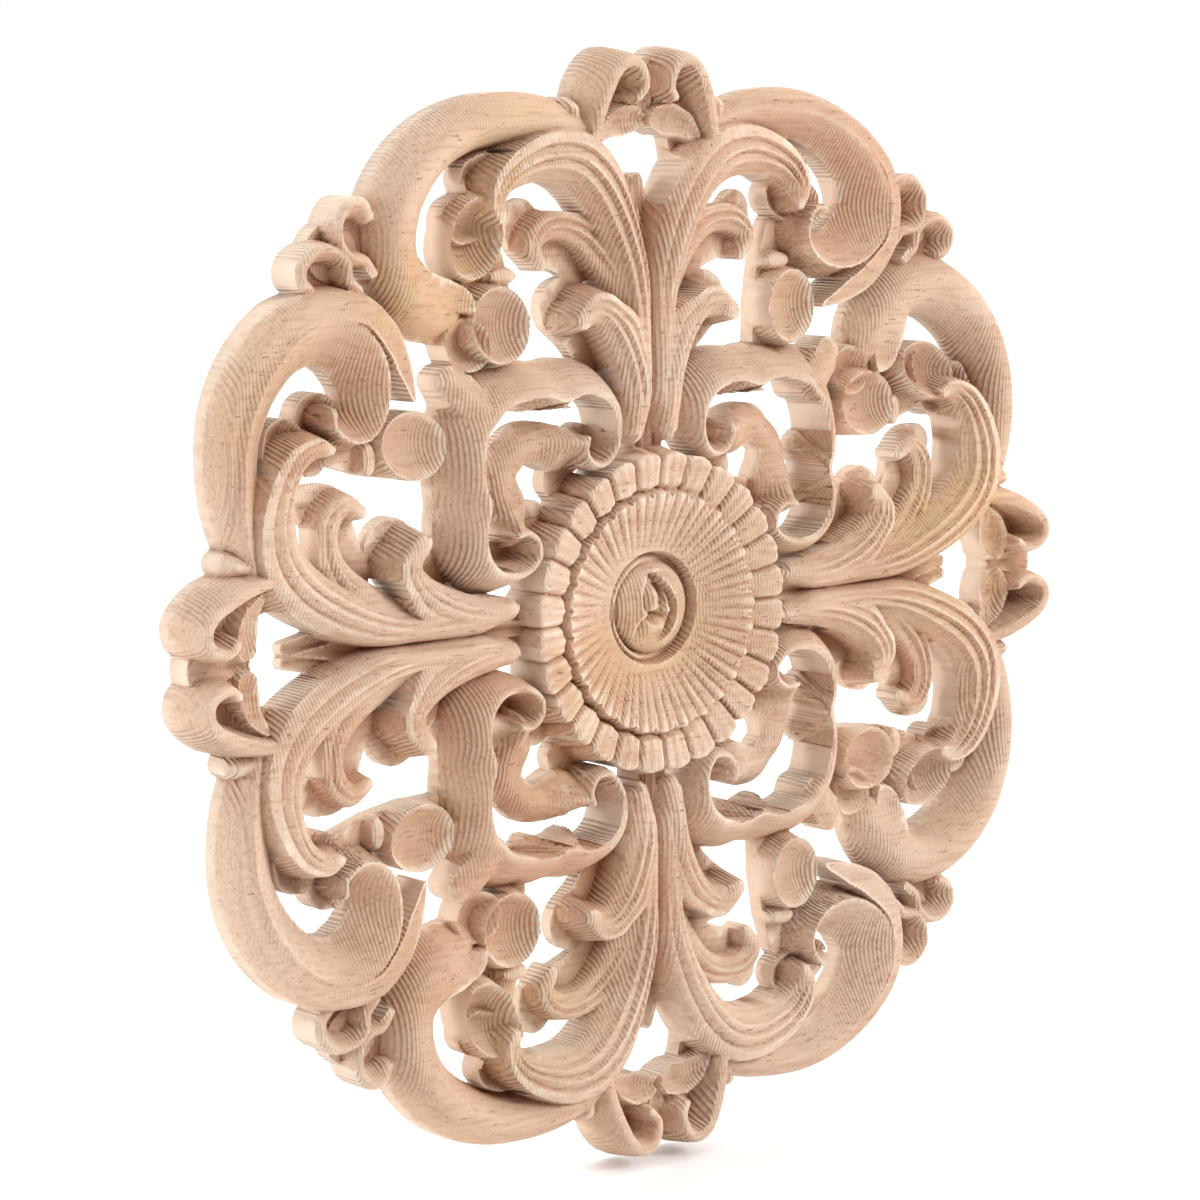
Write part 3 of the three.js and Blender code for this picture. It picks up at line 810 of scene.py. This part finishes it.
def outline_mesh(line: np.ndarray, panel: Layers) -> tuple[np.ndarray, np.ndarray, np.ndarray]:
    """Return top points and triangles inside the outline, and the outline's segments.

    Each grid cell is cut along the line where the inside distance is zero.

    Args:
        line: grid coordinate.
        panel: the fields on the grid.

    Returns:
        rows of x, height and z, rows of three point numbers, and rows of two.
    """
    size = len(line)
    inside = panel.inside
    height = np.where(inside > 0, panel.height, panel.edge)
    within = inside > 0
    x, z = np.meshgrid(line, line, indexing="ij")
    ids = np.full((3, size, size), -1, dtype=np.int64)
    columns = []
    total = 0
    ids[0][within] = np.arange(within.sum())
    total += int(within.sum())
    columns.append(np.stack([x[within], height[within], z[within]], axis=-1))
    low, high, every = slice(0, -1), slice(1, None), slice(None)
    for axis_id, first, second in ((1, (low, every), (high, every)), (2, (every, low), (every, high))):
        crossing = within[first] != within[second]
        a = inside[first][crossing]
        b = inside[second][crossing]
        t = np.clip(a / (a - b), 0.05, 0.95)
        points = np.stack([
            x[first][crossing] * (1 - t) + x[second][crossing] * t,
            height[first][crossing] * (1 - t) + height[second][crossing] * t,
            z[first][crossing] * (1 - t) + z[second][crossing] * t,
        ], axis=-1)
        target = ids[axis_id][: crossing.shape[0], : crossing.shape[1]]
        target[crossing] = total + np.arange(len(points))
        total += len(points)
        columns.append(points)
    points = np.vstack(columns)
    corner = ids[0]
    places = [
        corner[:-1, :-1], corner[1:, :-1], corner[1:, 1:], corner[:-1, 1:],
        ids[1][:-1, :-1], ids[2][1:, :-1], ids[1][:-1, 1:], ids[2][:-1, :-1],
    ]
    code = (
        within[:-1, :-1] * 1 + within[1:, :-1] * 2 + within[1:, 1:] * 4 + within[:-1, 1:] * 8
    )
    triangles = []
    segments = []
    for case, polygons in CELL_POLYGONS.items():
        where = code == case
        for polygon in polygons:
            ring = [places[k][where] for k in polygon]
            for i in range(1, len(ring) - 1):
                triangles.append(np.stack([ring[0], ring[i], ring[i + 1]], axis=-1))
            for i, k in enumerate(polygon):
                following = polygon[(i + 1) % len(polygon)]
                if k > 3 and following > 3:
                    segments.append(np.stack([ring[i], ring[(i + 1) % len(ring)]], axis=-1))
    return points, np.vstack(triangles), np.vstack(segments)


def closed_panel(line: np.ndarray, panel: Layers) -> tuple[np.ndarray, np.ndarray]:
    """Return the closed carved panel: its face, the same points on the flat back, and walls between them.

    Args:
        line: the grid's coordinate.
        panel: the panel's fields.

    Returns:
        rows of x, y and z in metres, and rows of three vertex numbers.
    """
    panel.height = np.clip(panel.height, *FACE_RANGE)
    panel.edge = np.clip(panel.edge, *FACE_RANGE)
    top, faces, segments = outline_mesh(line, panel)
    count = len(top)
    scale = np.array([PLAN, -RELIEF, PLAN]) * 1e-3
    front = top * scale
    back = front * np.array([1.0, 0.0, 1.0])
    a, b = segments[:, 0], segments[:, 1]
    walls = np.vstack([
        np.stack([a, b + count, b], axis=-1),
        np.stack([a, a + count, b + count], axis=-1),
    ])
    triangles = np.vstack([faces, faces[:, ::-1] + count, walls])
    return np.vstack([front, back]), triangles


def mesh_from(name: str, vertices: np.ndarray, triangles: np.ndarray) -> bpy.types.Mesh:
    """Return a mesh made of triangles.

    Args:
        name: the mesh's name.
        vertices: rows of x, y and z in metres.
        triangles: rows of three vertex numbers.

    Returns:
        the mesh.
    """
    mesh = bpy.data.meshes.new(name)
    mesh.vertices.add(len(vertices))
    mesh.vertices.foreach_set("co", vertices.astype(np.float32).ravel())
    mesh.loops.add(triangles.size)
    mesh.loops.foreach_set("vertex_index", triangles.astype(np.int32).ravel())
    mesh.polygons.add(len(triangles))
    mesh.polygons.foreach_set("loop_start", np.arange(0, triangles.size, 3, dtype=np.int32))
    mesh.update(calc_edges=True)
    mesh.validate()
    return mesh


def thinned(mesh: bpy.types.Mesh, budget: int) -> bpy.types.Mesh:
    """Return the mesh with no more faces than the budget, finest where the carving is.

    Args:
        mesh: the full mesh.
        budget: how many triangles may stay.

    Returns:
        the same mesh, or a thinner one.
    """
    if len(mesh.polygons) <= budget:
        return mesh
    carrier = bpy.data.objects.new("carrier", mesh)
    bpy.context.scene.collection.objects.link(carrier)
    thin = carrier.modifiers.new("thin", "DECIMATE")
    thin.ratio = budget / len(mesh.polygons)
    graph = bpy.context.evaluated_depsgraph_get()
    result = bpy.data.meshes.new_from_object(carrier.evaluated_get(graph))
    bpy.data.objects.remove(carrier)
    return result


def linear(code: str) -> tuple[float, ...]:
    """Return a colour for a shader socket from its sRGB hex code.

    Args:
        code: six hex digits.

    Returns:
        red, green, blue and alpha.
    """
    channels = [int(code[i : i + 2], 16) / 255.0 for i in (0, 2, 4)]
    return (*[c / 12.92 if c <= 0.04045 else ((c + 0.055) / 1.055) ** 2.4 for c in channels], 1.0)


class Graph:
    """A material's nodes, added and linked in short calls."""

    def __init__(self, tree: bpy.types.NodeTree) -> None:
        """Keep the tree.

        Args:
            tree: the material's node tree.
        """
        self.tree = tree

    def node(self, kind: str, inputs: dict | None = None, **settings: object) -> bpy.types.Node:
        """Return a new node.

        Args:
            kind: the node's type.
            inputs: a value or an output for each named or numbered input.
            settings: the node's own properties.

        Returns:
            the node.
        """
        node = self.tree.nodes.new(kind)
        for name, value in settings.items():
            setattr(node, name, value)
        for key, value in (inputs or {}).items():
            if isinstance(value, bpy.types.NodeSocket):
                self.tree.links.new(value, node.inputs[key])
            else:
                node.inputs[key].default_value = value
        return node

    def math(self, operation: str, *values: object, clamp: bool = False) -> bpy.types.NodeSocket:
        """Return the result of a sum on numbers or outputs.

        Args:
            operation: what is done with them.
            values: the numbers or outputs.
            clamp: whether the result is kept from 0 to 1.

        Returns:
            the result's output.
        """
        node = self.node("ShaderNodeMath", dict(enumerate(values)), operation=operation, use_clamp=clamp)
        return node.outputs[0]

    def noise(self, place: bpy.types.NodeSocket, stretch: tuple, detail: float = 2.0) -> bpy.types.NodeSocket:
        """Return soft noise from 0 to 1 with its own scale along each axis.

        Args:
            place: where the noise is read.
            stretch: cycles in a metre along x, y and z.
            detail: how many finer layers it has.

        Returns:
            the noise's output.
        """
        scaled = self.node("ShaderNodeVectorMath", {0: place, 1: stretch}, operation="MULTIPLY")
        noise = self.node("ShaderNodeTexNoise", {"Vector": scaled.outputs[0], "Scale": 1.0, "Detail": detail})
        return noise.outputs["Fac"]

    def step(self, value: object, low: float, high: float) -> bpy.types.NodeSocket:
        """Return a smooth rise from 0 to 1 between two values.

        Args:
            value: the number or output that rises.
            low: where it starts.
            high: where it ends.

        Returns:
            the rise's output.
        """
        node = self.node("ShaderNodeMapRange", {"Value": value, "From Min": low, "From Max": high})
        node.interpolation_type = "SMOOTHSTEP"
        return node.outputs[0]

    def mix(self, share: object, first: object, second: object, blend: str = "MIX") -> bpy.types.NodeSocket:
        """Return a blend of two colours.

        Args:
            share: how much of the second.
            first: a colour or an output.
            second: a colour or an output.
            blend: how they are put together.

        Returns:
            the blend's output.
        """
        node = self.node("ShaderNodeMix", {0: share, 6: first, 7: second}, data_type="RGBA", blend_type=blend)
        return node.outputs[2]


@dataclass(frozen=True)
class CarvedHardwood:
    """Bare machine-carved hardwood, unsanded.

    The cutter's passes give the eye fine ridges that follow every slope. Under them lie long grain, short
    dark pores and warmer staves where boards were glued. Over them lie a painted highlight on the rims and
    painted shade, darker and warmer, in the hollows and deep among the carving. Colours are sRGB hex codes,
    lengths and depths are in metres, and each pattern says how many times it repeats in a metre along x, y
    and z.

    Attributes:
        pale: the wood's main colour.
        warm: its pinker parts.
        honey: its yellower parts.
        fibre: colour of the darker fibres.
        pore: colour of the pores.
        shade: colour of the painted shade; colours deep among the carving are multiplied by it.
        edge: colour of the painted highlight on the rims.
        hollow: colour of the painted shade in the inner corners and creases.
        roughness: of the unsanded wood.
        specular: how strongly it shines, low for open fibres.
        pass_width: distance between two passes of the cutter.
        cutter_radius: radius of the cutter's end.
        pass_gain: how much taller the ridges are drawn than the cutter would leave them, so that they show.
        wall_mark: depth of the marks on upright walls.
        sway: how far a pass wanders.
        stave: height of one glued board.
        clouds: changes of tone along a board.
        glows: yellow patches.
        fibres: fibres in the colour, 22 mm long and 1.1 mm wide.
        strands: fibres in the relief, 17 mm long and 0.9 mm wide.
        pores: pores, 4 mm long and 0.7 mm wide.
        nap: torn fibre ends, 0.6 mm across.
        wander: how fast the passes wander.
        wear: patches where the passes are fainter, 3 cm across.
        strand_depth: depth of the fibres.
        nap_depth: depth of the nap.
        pore_depth: depth of the pores.
    """

    pale: str = "D6B8A0"
    warm: str = "C89F82"
    honey: str = "D2AE82"
    fibre: str = "A5714D"
    pore: str = "6E4730"
    shade: str = "AC8060"
    edge: str = "EDD8C2"
    hollow: str = "8A5836"
    roughness: float = 0.72
    specular: float = 0.3
    pass_width: float = 0.0009
    cutter_radius: float = 0.0011
    pass_gain: float = 1.9
    wall_mark: float = 0.00006
    sway: float = 0.0006
    stave: float = 0.043
    clouds: tuple = (9.0, 9.0, 22.0)
    glows: tuple = (13.0, 20.0, 15.0)
    fibres: tuple = (45.0, 900.0, 900.0)
    strands: tuple = (60.0, 1100.0, 1100.0)
    pores: tuple = (260.0, 1500.0, 1500.0)
    nap: tuple = (1600.0, 1600.0, 1600.0)
    wander: tuple = (60.0, 60.0, 60.0)
    wear: tuple = (35.0, 35.0, 35.0)
    strand_depth: float = 0.00012
    nap_depth: float = 0.00022
    pore_depth: float = 0.00012

    def make(self) -> bpy.types.Material:
        """Build the material's nodes.

        Returns:
            the material.
        """
        material = bpy.data.materials.new("bare_carved_hardwood")
        material.use_nodes = True
        graph = Graph(material.node_tree)
        shader = material.node_tree.nodes["Principled BSDF"]
        texture = graph.node("ShaderNodeTexCoord")
        place = texture.outputs["Object"]
        axes = graph.node("ShaderNodeSeparateXYZ", {0: place})
        faces = graph.node("ShaderNodeSeparateXYZ", {0: texture.outputs["Normal"]})
        shader.inputs["Roughness"].default_value = self.roughness
        shader.inputs["Specular IOR Level"].default_value = self.specular
        links = material.node_tree.links
        links.new(self._colour(graph, place, axes, faces), shader.inputs["Base Color"])
        bump = graph.node(
            "ShaderNodeBump",
            {"Height": self._relief(graph, place, axes, faces), "Strength": 1.0, "Distance": 1.0},
        )
        links.new(bump.outputs[0], shader.inputs["Normal"])
        return material

    def _colour(
        self, graph: Graph, place: bpy.types.NodeSocket, axes: bpy.types.Node, faces: bpy.types.Node
    ) -> bpy.types.NodeSocket:
        """Return the wood's colour, with painted shade deep among the carving and in creases, and a painted
        highlight on the rims.

        Args:
            graph: the material's nodes.
            place: the point on the panel.
            axes: the point's three coordinates.
            faces: the three parts of the surface's direction.

        Returns:
            the colour's output.
        """
        cloud = graph.noise(place, self.clouds, 3.0)
        colour = graph.mix(graph.step(cloud, 0.35, 0.68), linear(self.pale), linear(self.warm))
        glow = graph.step(graph.noise(place, self.glows, 1.0), 0.52, 0.74)
        colour = graph.mix(graph.math("MULTIPLY", glow, 0.6), colour, linear(self.honey))
        stave = graph.math("FLOOR", graph.math("DIVIDE", axes.outputs[2], self.stave))
        tone = graph.node("ShaderNodeTexWhiteNoise", {"W": stave}, noise_dimensions="1D").outputs["Value"]
        colour = graph.mix(graph.math("MULTIPLY", tone, 0.22), colour, linear(self.warm))
        fibre = graph.step(graph.noise(place, self.fibres, 4.0), 0.42, 0.75)
        colour = graph.mix(graph.math("MULTIPLY", fibre, 0.4), colour, linear(self.fibre))
        pores = graph.step(graph.noise(place, self.pores, 1.0), 0.68, 0.76)
        colour = graph.mix(graph.math("MULTIPLY", pores, 0.55), colour, linear(self.pore))
        # Painted shade: deep among the carving, the colour is multiplied by the shade colour, except on the
        # flat back.
        recess = graph.node("ShaderNodeAttribute", attribute_name=RECESS_LAYER).outputs["Fac"]
        carved = graph.step(faces.outputs[1], 0.9, 0.6)
        shade = graph.math("MULTIPLY", graph.step(recess, 0.04, 0.42), carved)
        colour = graph.mix(shade, colour, graph.mix(1.0, colour, linear(self.shade), "MULTIPLY"))
        # Painted highlight on convex rims and painted shade in concave creases, both read from the mesh's
        # pointiness and kept off the flat back.
        corner = graph.node("ShaderNodeNewGeometry").outputs["Pointiness"]
        rim_highlight = graph.math("MULTIPLY", graph.step(corner, 0.508, 0.58), graph.math("MULTIPLY", carved, 0.7))
        # inner: painted shade in concave creases and inner corners.
        inner = graph.math("MULTIPLY", graph.step(corner, 0.492, 0.42), graph.math("MULTIPLY", carved, 0.55))
        return graph.mix(inner, graph.mix(rim_highlight, colour, linear(self.edge)), linear(self.hollow))

    def _relief(
        self, graph: Graph, place: bpy.types.NodeSocket, axes: bpy.types.Node, faces: bpy.types.Node
    ) -> bpy.types.NodeSocket:
        """Return the height of the cutter's passes, grain and pores, in metres.

        The passes run in planes across x, so their ridges are taller where the surface leans sideways. On
        upright walls, marks that follow the depth take their place.

        Args:
            graph: the material's nodes.
            place: the point on the panel.
            axes: the point's three coordinates.
            faces: the three parts of the surface's direction.

        Returns:
            the height's output.
        """
        sway = graph.math("SUBTRACT", graph.noise(place, self.wander, 1.0), 0.5)
        across = graph.math("MULTIPLY_ADD", sway, self.sway, axes.outputs[0])
        cusp = graph.math("FRACT", graph.math("DIVIDE", across, self.pass_width))
        cusp = graph.math("POWER", graph.math("ABSOLUTE", graph.math("MULTIPLY_ADD", cusp, 2.0, -1.0)), 2.0)
        sideways = graph.math("POWER", faces.outputs[0], 2.0)
        outward = graph.math("POWER", faces.outputs[1], 2.0)
        lean = graph.math("DIVIDE", outward, graph.math("ADD", graph.math("ADD", outward, sideways), 1.0e-4))
        lean = graph.math("MAXIMUM", lean, 0.28)
        tall = self.pass_gain * self.pass_width**2 / (8.0 * self.cutter_radius)
        height = graph.math("MULTIPLY", cusp, graph.math("DIVIDE", tall, lean))
        upright = graph.step(graph.math("ABSOLUTE", faces.outputs[0]), 0.96, 0.80)
        wear = graph.step(graph.noise(place, self.wear, 1.0), 0.25, 0.60)
        height = graph.math("MULTIPLY", height, graph.math("MULTIPLY", upright, wear))
        down = graph.math("FRACT", graph.math("DIVIDE", axes.outputs[1], self.pass_width))
        down = graph.math("POWER", graph.math("ABSOLUTE", graph.math("MULTIPLY_ADD", down, 2.0, -1.0)), 2.0)
        steep = graph.math("SUBTRACT", 1.0, upright)
        height = graph.math("MULTIPLY_ADD", graph.math("MULTIPLY", down, steep), self.wall_mark, height)
        strand = graph.noise(place, self.strands, 3.0)
        height = graph.math("MULTIPLY_ADD", strand, self.strand_depth, height)
        nap = graph.noise(place, self.nap, 3.0)
        height = graph.math("MULTIPLY_ADD", nap, self.nap_depth, height)
        pores = graph.step(graph.noise(place, self.pores, 1.0), 0.68, 0.76)
        return graph.math("MULTIPLY_ADD", pores, -self.pore_depth, height)


@dataclass(frozen=True)
class PhotoCamera:
    """The photograph's camera, in the panel's frame. Angles are in degrees.

    Attributes:
        azimuth: how far it stands to the left of the panel's front.
        elevation: how far it stands above the panel's middle.
        roll: how far it is turned about its own axis.
        lens: focal length in millimetres.
        distance: from the panel's middle, in metres.
        aside: how far it is moved to its right, in metres.
        above: how far it is moved up, in metres.
    """

    azimuth: float = 39.62
    elevation: float = 8.25
    roll: float = -0.85
    lens: float = 109.26
    distance: float = 0.9762
    aside: float = -0.00765
    above: float = 0.0019

    def make(self) -> bpy.types.Object:
        """Add the camera to the scene.

        Returns:
            the camera's object.
        """
        a, e, roll = (math.radians(v) for v in (self.azimuth, self.elevation, self.roll))
        back = Vector((-math.sin(a) * math.cos(e), -math.cos(a) * math.cos(e), math.sin(e)))
        right = Vector((math.cos(a), -math.sin(a), 0.0))
        up = back.cross(right)
        turned_right = right * math.cos(roll) + up * math.sin(roll)
        turned_up = up * math.cos(roll) - right * math.sin(roll)
        place = back * self.distance + turned_right * self.aside + turned_up * self.above
        data = bpy.data.cameras.new("photo_camera")
        data.lens = self.lens
        data.clip_start = 0.05
        data.clip_end = 20.0
        camera = bpy.data.objects.new("photo_camera", data)
        axes = Matrix((turned_right, turned_up, back)).transposed().to_4x4()
        camera.matrix_world = Matrix.Translation(place) @ axes
        bpy.context.scene.collection.objects.link(camera)
        bpy.context.scene.camera = camera
        LOG.info("camera: %.0f mm lens, %.2f m away", self.lens, self.distance)
        return camera


@dataclass
class CarvedPanel:
    """The carved panel: four quarters of leaves and scrolls round a rosette, on a flat back.

    Lengths are in millimetres unless said.

    Attributes:
        fineness: how fine the grid is.
        overlap: how far a quarter is worked out beyond its own axes.
        face_budget: how many triangles the mesh may have.
        sharp: angle of an edge that stays sharp, in degrees.
        enclosing: reach of the carving that shades a point.
        rosette: the rosette in the middle.
        wood: the finish.
    """

    fineness: Fineness = Fineness.FULL
    overlap: float = 9.0
    face_budget: int = 186000
    sharp: float = 38.0
    enclosing: float = 6.0
    rosette: Rosette = Rosette()
    wood: CarvedHardwood = CarvedHardwood()

    def build(self) -> bpy.types.Object:
        """Work out the panel's surface and put it into one mesh.

        Returns:
            the panel's object.
        """
        line, layers = self._layers()
        vertices, triangles = closed_panel(line, layers)
        mesh = thinned(mesh_from("carved_applique", vertices, triangles), self.face_budget)
        mesh.name = "carved_applique"
        self._mark_recesses(mesh, self._enclosure(layers))
        mesh.polygons.foreach_set("use_smooth", np.ones(len(mesh.polygons), dtype=bool))
        mesh.set_sharp_from_angle(angle=math.radians(self.sharp))
        panel = bpy.data.objects.new("carved_applique", mesh)
        bpy.context.scene.collection.objects.link(panel)
        LOG.info("carved panel: %d triangles, %d before thinning", len(mesh.polygons), len(triangles))
        return panel

    def dress(self, panel: bpy.types.Object) -> None:
        """Give the panel its finish.

        Args:
            panel: the panel's object.
        """
        panel.data.materials.append(self.wood.make())

    def _quarter(self, axis: np.ndarray, margin: int, near_axis: tuple, near_top: tuple) -> Layers:
        """Return the fields of one quarter, on its own square grid.

        Args:
            axis: the grid's coordinate along either axis, with margin samples below zero.
            margin: how many samples lie below zero.
            near_axis: rim shapes beside the x axis.
            near_top: rim shapes beside the z axis, drawn beside the x axis.

        Returns:
            the fields from zero on along both axes.
        """
        x, z = np.meshgrid(axis, axis, indexing="ij")
        eighth = layers_of(x, z, EIGHTH)
        quarter = eighth.joined(eighth.swapped())
        quarter = quarter.joined(layers_of(x, z, near_axis))
        quarter = quarter.joined(layers_of(x, z, near_top).swapped())
        return quarter.folded(margin)

    def _layers(self) -> tuple[np.ndarray, Layers]:
        """Work out the whole panel, mirrored to the left with its rim scrolls exchanged, and to the foot.

        Returns:
            the grid's coordinate along either axis, and the fields.
        """
        cell = self.fineness.value
        count = int(math.ceil((OUTER_RADIUS + 1.0) / cell))
        margin = int(math.ceil(self.overlap / cell))
        axis = np.arange(-margin, count + 1) * (cell / PLAN)
        left = self._quarter(axis, margin, SPOON_SCROLL, CROWNED_SCROLL)
        right = self._quarter(axis, margin, CROWNED_SCROLL, SPOON_SCROLL)
        upper = left.cut(slice(None, 0, -1)).followed_by(right).swapped()
        whole = upper.cut(slice(None, 0, -1)).followed_by(upper).swapped()
        line = np.arange(-count, count + 1) * (cell / PLAN)
        return line, whole.joined(self.rosette.layers(*np.meshgrid(line, line, indexing="ij")))

    def _enclosure(self, layers: Layers) -> np.ndarray:
        """Return how much carving stands round each grid point: its height, averaged twice over a square.

        Args:
            layers: the panel's fields.

        Returns:
            a share of the thickness from 0 to 1 for each grid point.
        """
        around = np.where(layers.inside > 0, layers.height, 0.0)
        reach = max(1, round(self.enclosing / self.fineness.value))
        for _ in range(4):
            total = np.cumsum(np.pad(around, ((reach + 1, reach), (0, 0)), mode="edge"), axis=0)
            around = ((total[2 * reach + 1 :] - total[: -2 * reach - 1]) / (2 * reach + 1)).T
        return around / 100.0

    def _mark_recesses(self, mesh: bpy.types.Mesh, around: np.ndarray) -> None:
        """Write on each vertex how deep it lies among the carving round it, which sets how much painted shade
        its colour takes.

        Args:
            mesh: the panel's mesh.
            around: how much carving stands round each grid point.
        """
        places = np.empty(len(mesh.vertices) * 3, dtype=np.float32)
        mesh.vertices.foreach_get("co", places)
        places = places.reshape(-1, 3) * 1000.0
        middle = (len(around) - 1) // 2
        cells = np.rint(places[:, (0, 2)] / self.fineness.value).astype(int) + middle
        column, row = np.clip(cells, 0, len(around) - 1).T
        depth = np.clip(around[column, row] + places[:, 1] / THICKNESS, 0.0, 1.0)
        layer = mesh.attributes.new(RECESS_LAYER, "FLOAT", "POINT")
        layer.data.foreach_set("value", depth.astype(np.float32))


@dataclass(frozen=True)
class SoftLight:
    """A square soft light that faces the panel's middle.

    Attributes:
        name: which light it is.
        place: where it stands, in metres.
        size: its side, in metres.
        power: in watts.
        tint: its colour, as an sRGB hex code.
    """

    name: str
    place: tuple
    size: float
    power: float
    tint: str = "F4FAFF"

    def make(self) -> None:
        """Add the light to the scene."""
        data = bpy.data.lights.new(self.name, "AREA")
        data.size = self.size
        data.energy = self.power
        data.color = linear(self.tint)[:3]
        light = bpy.data.objects.new(self.name, data)
        light.location = self.place
        light.rotation_euler = Vector(self.place).to_track_quat("Z", "Y").to_euler()
        bpy.context.scene.collection.objects.link(light)


@dataclass
class Studio:
    """A pale floor and soft studio light. Lengths are in metres, colours are sRGB hex codes.

    Attributes:
        floor_level: height of the floor, just under the panel's lowest point.
        half_floor: half the floor's side.
        floor: the floor's colour.
        bright: colour of the studio's walls.
        dim: colour of the wall behind the camera.
        behind: the way from the panel to that wall.
        overhead: how much brighter the ceiling is.
        lights: the soft lights.
    """

    floor_level: float = -0.1503
    half_floor: float = 6.0
    floor: str = "FFFFFF"
    bright: str = "FFFFFF"
    dim: str = "606060"
    behind: tuple = (-0.72, -0.69, 0.0)
    overhead: float = 0.8
    lights: tuple = (
        SoftLight("key", (1.0, -2.0, 1.3), 0.8, 36.0),
        SoftLight("edge light", (-1.9, 1.4, 0.5), 0.9, 32.0),
    )

    def build(self) -> None:
        """Make the floor, the walls' light and the soft lights."""
        self._make_floor()
        self._make_world()
        for light in self.lights:
            light.make()
        LOG.info("studio: floor, walls and %d soft lights", len(self.lights))

    def _make_floor(self) -> None:
        """Lay the floor, a matt white painted board that only takes a soft shadow."""
        half = self.half_floor
        mesh = bpy.data.meshes.new("floor")
        corners = [(-half, -half, 0), (half, -half, 0), (half, half, 0), (-half, half, 0)]
        mesh.from_pydata(corners, [], [(0, 1, 2, 3)])
        floor = bpy.data.objects.new("floor", mesh)
        floor.location.z = self.floor_level
        material = bpy.data.materials.new("pale_floor")
        material.use_nodes = True
        material.node_tree.nodes["Principled BSDF"].inputs["Base Color"].default_value = linear(self.floor)
        mesh.materials.append(material)
        bpy.context.scene.collection.objects.link(floor)

    def _make_world(self) -> None:
        """Light the scene from white walls, dimmer behind the camera and brighter overhead."""
        world = bpy.data.worlds.new("studio")
        bpy.context.scene.world = world
        world.use_nodes = True
        graph = Graph(world.node_tree)
        background = world.node_tree.nodes["Background"]
        towards = graph.node("ShaderNodeTexCoord").outputs["Generated"]
        side = graph.node("ShaderNodeVectorMath", {0: towards, 1: self.behind}, operation="DOT_PRODUCT")
        dimmed = graph.step(side.outputs["Value"], 0.0, 0.85)
        colour = graph.mix(dimmed, linear(self.bright), linear(self.dim))
        upward = graph.node("ShaderNodeSeparateXYZ", {0: towards}).outputs[2]
        strength = graph.math("MULTIPLY_ADD", graph.step(upward, 0.35, 0.8), self.overhead, 1.0)
        world.node_tree.links.new(colour, background.inputs["Color"])
        world.node_tree.links.new(strength, background.inputs["Strength"])


def main() -> None:
    """Build the panel in place of the solid, then the studio and the camera."""
    logging.basicConfig(level=logging.INFO)
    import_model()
    carving = CarvedPanel(Fineness.FULL)
    panel = carving.build()
    carving.dress(panel)
    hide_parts("applique")
    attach(panel, "root")
    Studio().build()
    PhotoCamera().make()
    scene = bpy.context.scene
    scene.view_settings.view_transform = "Standard"
    scene.render.film_transparent = False


if __name__ == "__main__":
    main()
